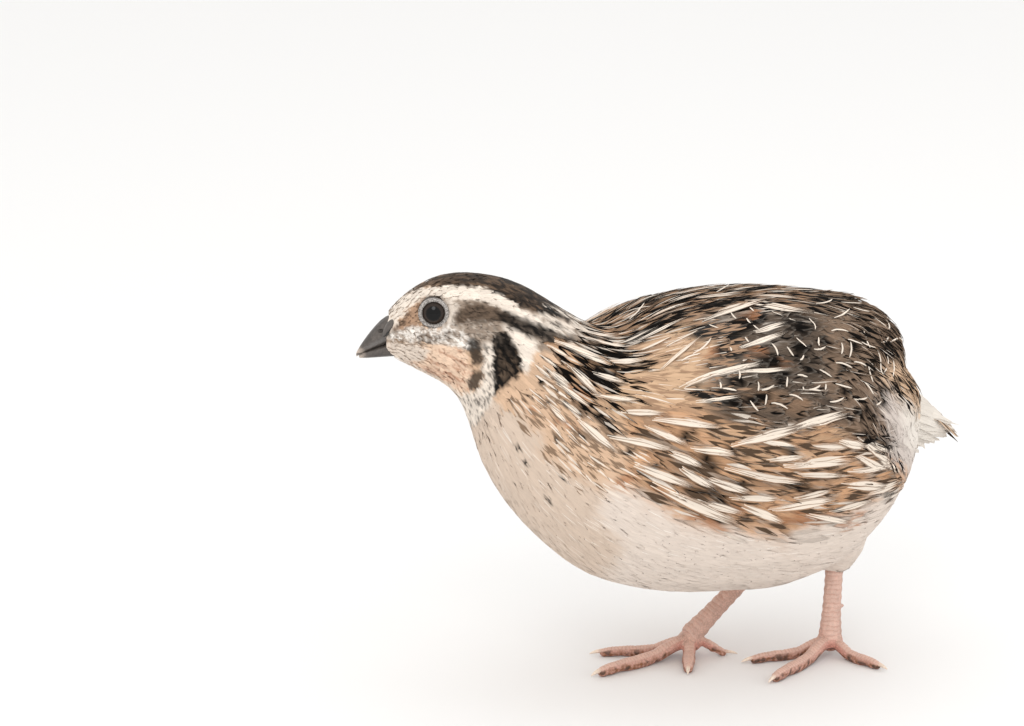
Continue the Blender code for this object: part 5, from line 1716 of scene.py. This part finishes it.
leg_skin, tree, surface = new_finish("scaled leg skin", Roughness=0.52)
place = add(tree, "ShaderNodeTexCoord")
leg_tone, plated = carried(tree)
scales = add(tree, "ShaderNodeTexVoronoi", feature="DISTANCE_TO_EDGE")
tree.links.new(place.outputs["Object"], scales.inputs["Vector"])
scales.inputs["Scale"].default_value = 1350.0
scale_edge = step_between(tree, scales.outputs["Distance"], 0.02, 0.16)
scale_share = sum_of(tree, "SUBTRACT", 1.0, sum_of(tree, "MULTIPLY", plated, 0.85))
scale_shade = sum_of(tree, "SUBTRACT", 1.0, sum_of(
    tree, "MULTIPLY", sum_of(tree, "SUBTRACT", 1.0, scale_edge), sum_of(tree, "MULTIPLY", scale_share, 0.22)))
pores = grain_of(tree, 3800.0, 0.6)
pore_shade = step_between(tree, pores, 0.3, 0.7, 0.9, 1.06)
leg_shade = sum_of(tree, "MULTIPLY", scale_shade, pore_shade)
tree.links.new(shaded_by(tree, leg_tone, leg_shade), surface.inputs["Base Color"])
scale_height = sum_of(
    tree, "ADD", sum_of(tree, "MULTIPLY", scale_edge, scale_share), sum_of(tree, "MULTIPLY", pores, 0.25))
raised_by(tree, scale_height, surface, 0.6, 0.00018)

claw_horn, tree, surface = new_finish("claw horn", Roughness=0.34)
shade = step_between(tree, grain_of(tree, 1900.0, 0.6), 0.3, 0.7, 0.86, 1.08)
tree.links.new(shaded_by(tree, carried(tree)[0], shade), surface.inputs["Base Color"])


def level_run(bearing):
    """The level direction that lies so many degrees from straight ahead towards the bird's left."""
    turn = math.radians(bearing)
    return np.array((-math.cos(turn), -math.sin(turn), 0.0))


def plates(run, pitch):
    """The lift of overlapping plates along a limb: each rises slowly and ends in a crease at its edge."""
    part = np.mod(run / pitch, 1.0)
    return part * (1 - ease(part, 0.82, 1.0))


for side, (joint, knee, front_bearing, toes) in FEET.items():
    names = ["shank_" + side] + ["toe_" + toe[0] + "_" + side for toe in toes]
    forms = [solid_copy(name) for name in names]
    if side == "left":
        forms.append(new_form(bpy.ops.mesh.primitive_uv_sphere_add, segments=16, ring_count=10,
                              radius=NUB_RADIUS, location=bench(-38.0, 10.4, 13.0), scale=(1.6, 0.8, 0.7)))
    for _, toe_bearing, length, radius in toes:
        turn = math.radians(toe_bearing)
        tip = bench(joint[0] + math.cos(turn) * (length - 0.1), joint[1] + math.sin(turn) * (length - 0.1),
                    radius * TOE_TIP - 0.1)
        forms.append(new_form(bpy.ops.mesh.primitive_uv_sphere_add, segments=20, ring_count=12,
                              radius=radius * TOE_TIP / 1000, location=tip, scale=(1, 1, 0.92)))
    leg = joined(forms, "leg_skin_" + side)
    work(leg, "DISPLACE", strength=LEG_GAP, mid_level=0.0)
    work(leg, "REMESH", mode="VOXEL", voxel_size=LEG_VOXEL)
    work(leg, "SMOOTH", factor=0.5, iterations=9)
    places = points_of(leg)
    normals = normals_of(leg)
    joint_place, knee_place = bench(*joint), bench(*knee)
    shank_run = unit(joint_place - knee_place)
    down_shank = (places - knee_place) @ shank_run
    from_shank = np.linalg.norm(places - knee_place - down_shank[:, None] * shank_run, axis=1)
    shank_length = np.linalg.norm(joint_place - knee_place)
    past_shank = ease(down_shank, shank_length, shank_length + 0.002)
    on_shank = (1 - ease(from_shank, 0.0028, 0.0042)) * (1 - past_shank)
    front = level_run(front_bearing)
    front = unit(front - shank_run * (front @ shank_run))
    frontness = ease(normals @ front, 0.3, 0.8)
    shank_plates = plates(down_shank + 0.00022 * mottle(places, 0.0025, 64), SHANK_PLATE)
    nearest = np.full(len(places), 1.0)
    toe_run = np.zeros(len(places))
    toe_length = np.ones(len(places))
    for _, toe_bearing, length, radius in toes:
        ahead = level_run(toe_bearing)
        off = places - joint_place * (1, 1, 0)
        run = off @ ahead
        aside = np.abs(off[:, :2] @ np.array((ahead[1], -ahead[0])))
        away = np.where(run > 0, aside, 1.0)
        toe_run = np.where(away < nearest, run, toe_run)
        toe_length = np.where(away < nearest, length / 1000, toe_length)
        nearest = np.minimum(nearest, away)
    on_toe = (1 - on_shank) * ease(toe_run, 0.0035, 0.0055)
    topness = ease(normals[:, 2], 0.2, 0.65)
    toe_plates = plates(toe_run + 0.00016 * mottle(places, 0.002, 65), TOE_PLATE)
    plate = on_shank * frontness * shank_plates + on_toe * topness * toe_plates
    plate_share = on_shank * frontness + on_toe * topness
    # The creases between the plates, where painted shade goes.
    crease = (on_shank * frontness * ease(shank_plates, 0.22, 0.0)
              + on_toe * topness * ease(toe_plates, 0.22, 0.0))
    pads = np.clip(np.sin(toe_run / toe_length * TOE_PADS * 2 * math.pi), 0, 1)
    pads = on_toe * ease(-normals[:, 2], 0.1, 0.6) * pads
    low = ease(places[:, 2], 0.0004, 0.0)
    lift = PLATE_RELIEF * (plate - 0.35 * plate_share) + PAD_RELIEF * pads * (1 - low) - LEG_GAP * 0.6
    moved_places = places + normals * lift[:, None]
    moved_places[:, 2] = np.maximum(moved_places[:, 2], 0.00002)
    put_points(leg, moved_places)
    smooth_shaded(leg)
    fine = mottle(places, 0.0014, 61)
    broad = mottle(places, 0.0045, 62)
    tones = SKIN_PINK * (1 + 0.07 * broad[:, None] + 0.05 * fine[:, None])
    lay(tones, PLATE_PALE, 0.55 * plate_share * plate)
    # Painted shade in the creases between the plates.
    lay(tones, ROSE_SHADE, 0.42 * crease)
    # Painted shade on the sides and undersides of the toes, deepest where they meet at the foot.
    lay(tones, SIDE_SHADE_ROSE, (1 - on_shank) * (1 - ease(toe_run, 0.003, 0.009)) * (1 - topness) * 0.9)
    lay(tones, SIDE_SHADE_ROSE, on_toe * (1 - topness) * 0.45)
    dirt = ease(0.0022 + 0.0009 * broad - places[:, 2], -0.0006, 0.0006) * (1 - topness)
    lay(tones, SOIL, dirt * np.clip(0.62 + 0.5 * fine, 0, 1))
    lay(tones, SOIL_DARK, dirt * ease(mottle(places, 0.003, 63), 0.45, 0.75) * 0.8)
    # Painted shade under the toes, on the faces that look down.
    lay(tones, ROSE_SHADE, ease(-normals[:, 2], 0.3, 0.8) * on_toe * 0.4)
    put_colours(leg, "ground", *tones.T, np.clip(plate_share, 0, 1))
    leg.data.materials.append(leg_skin)
    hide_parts(*names)
    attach(leg, "root")

    claw_names = ["claw_" + toe[0] + "_" + side for toe in toes]
    claws = joined([solid_copy(name) for name in claw_names], "claws_" + side)
    work(claws, "REMESH", mode="VOXEL", voxel_size=CLAW_VOXEL)
    work(claws, "SMOOTH", factor=0.5, iterations=4)
    smooth_shaded(claws)
    places = points_of(claws)
    from_foot = np.linalg.norm((places - joint_place)[:, :2], axis=1)
    root_share = np.zeros(len(places))
    for _, toe_bearing, length, radius in toes:
        ahead = level_run(toe_bearing)
        run = (places - joint_place * (1, 1, 0)) @ ahead
        near_toe = run / np.maximum(from_foot, 1e-6) > 0.985
        near_root = 1 - ease(run - length / 1000, 0.0004, 0.0026)
        root_share = np.where(near_toe, near_root, root_share)
        places = places - (0.25 + 0.75 * root_share)[:, None] * near_toe[:, None] * ahead * CLAW_SINK
    put_points(claws, places)
    under = ease(-normals_of(claws)[:, 2], 0.2, 0.7)
    tones = CLAW_HORN + (CLAW_ROOT - CLAW_HORN) * root_share[:, None]
    lay(tones, SOIL, under * 0.35)
    put_colours(claws, "ground", *tones.T)
    claws.data.materials.append(claw_horn)
    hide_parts(*claw_names)
    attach(claws, "root")

# The floor, the light and the camera
# The bird stands on plain white, under a pale sky and three round, soft lamps: the strongest ahead on its
# left, one above, and the weakest behind. The camera takes the photograph's view.
FLOOR_SIZE = 6.0
floor = new_form(bpy.ops.mesh.primitive_plane_add, size=FLOOR_SIZE)
floor.name = "studio_floor"
floor_finish, _, _ = new_finish("studio floor", Base_Color=(0.86, 0.86, 0.86, 1), Roughness=0.7)
floor.data.materials.append(floor_finish)

world = bpy.data.worlds.new("studio")
bpy.context.scene.world = world
world.use_nodes = True
world.node_tree.nodes["Background"].inputs[0].default_value = (1.0, 0.99, 0.975, 1)
world.node_tree.nodes["Background"].inputs[1].default_value = 1.05


def soft_box(name, place, target, size, power):
    lamp = bpy.data.lights.new(name, "AREA")
    lamp.shape = "DISK"
    lamp.size = size
    lamp.energy = power
    holder = bpy.data.objects.new(name, lamp)
    bpy.context.scene.collection.objects.link(holder)
    holder.location = place
    holder.rotation_euler = turned_to(Vector(target) - Vector(place), "-Z")


BIRD_MIDDLE = (0.0, 0.0, 0.055)
soft_box("key_light", (-0.55, -0.75, 0.75), BIRD_MIDDLE, 0.5, 2.4)
soft_box("top_light", (0.15, 0.1, 1.0), BIRD_MIDDLE, 0.8, 1.2)
soft_box("fill_light", (0.8, -0.6, 0.4), BIRD_MIDDLE, 0.6, 0.8)

camera = bpy.data.cameras.new("photo_view")
camera.lens = LENS
camera.sensor_width = SENSOR
camera.clip_start = 0.01
viewer = bpy.data.objects.new("photo_view", camera)
bpy.context.scene.collection.objects.link(viewer)
viewer.location = Vector(VIEW_PLACE)
viewer.rotation_euler = turned_to(VIEW_AHEAD, "-Z")
bpy.context.scene.camera = viewer
bpy.context.scene.view_settings.view_transform = "Standard"
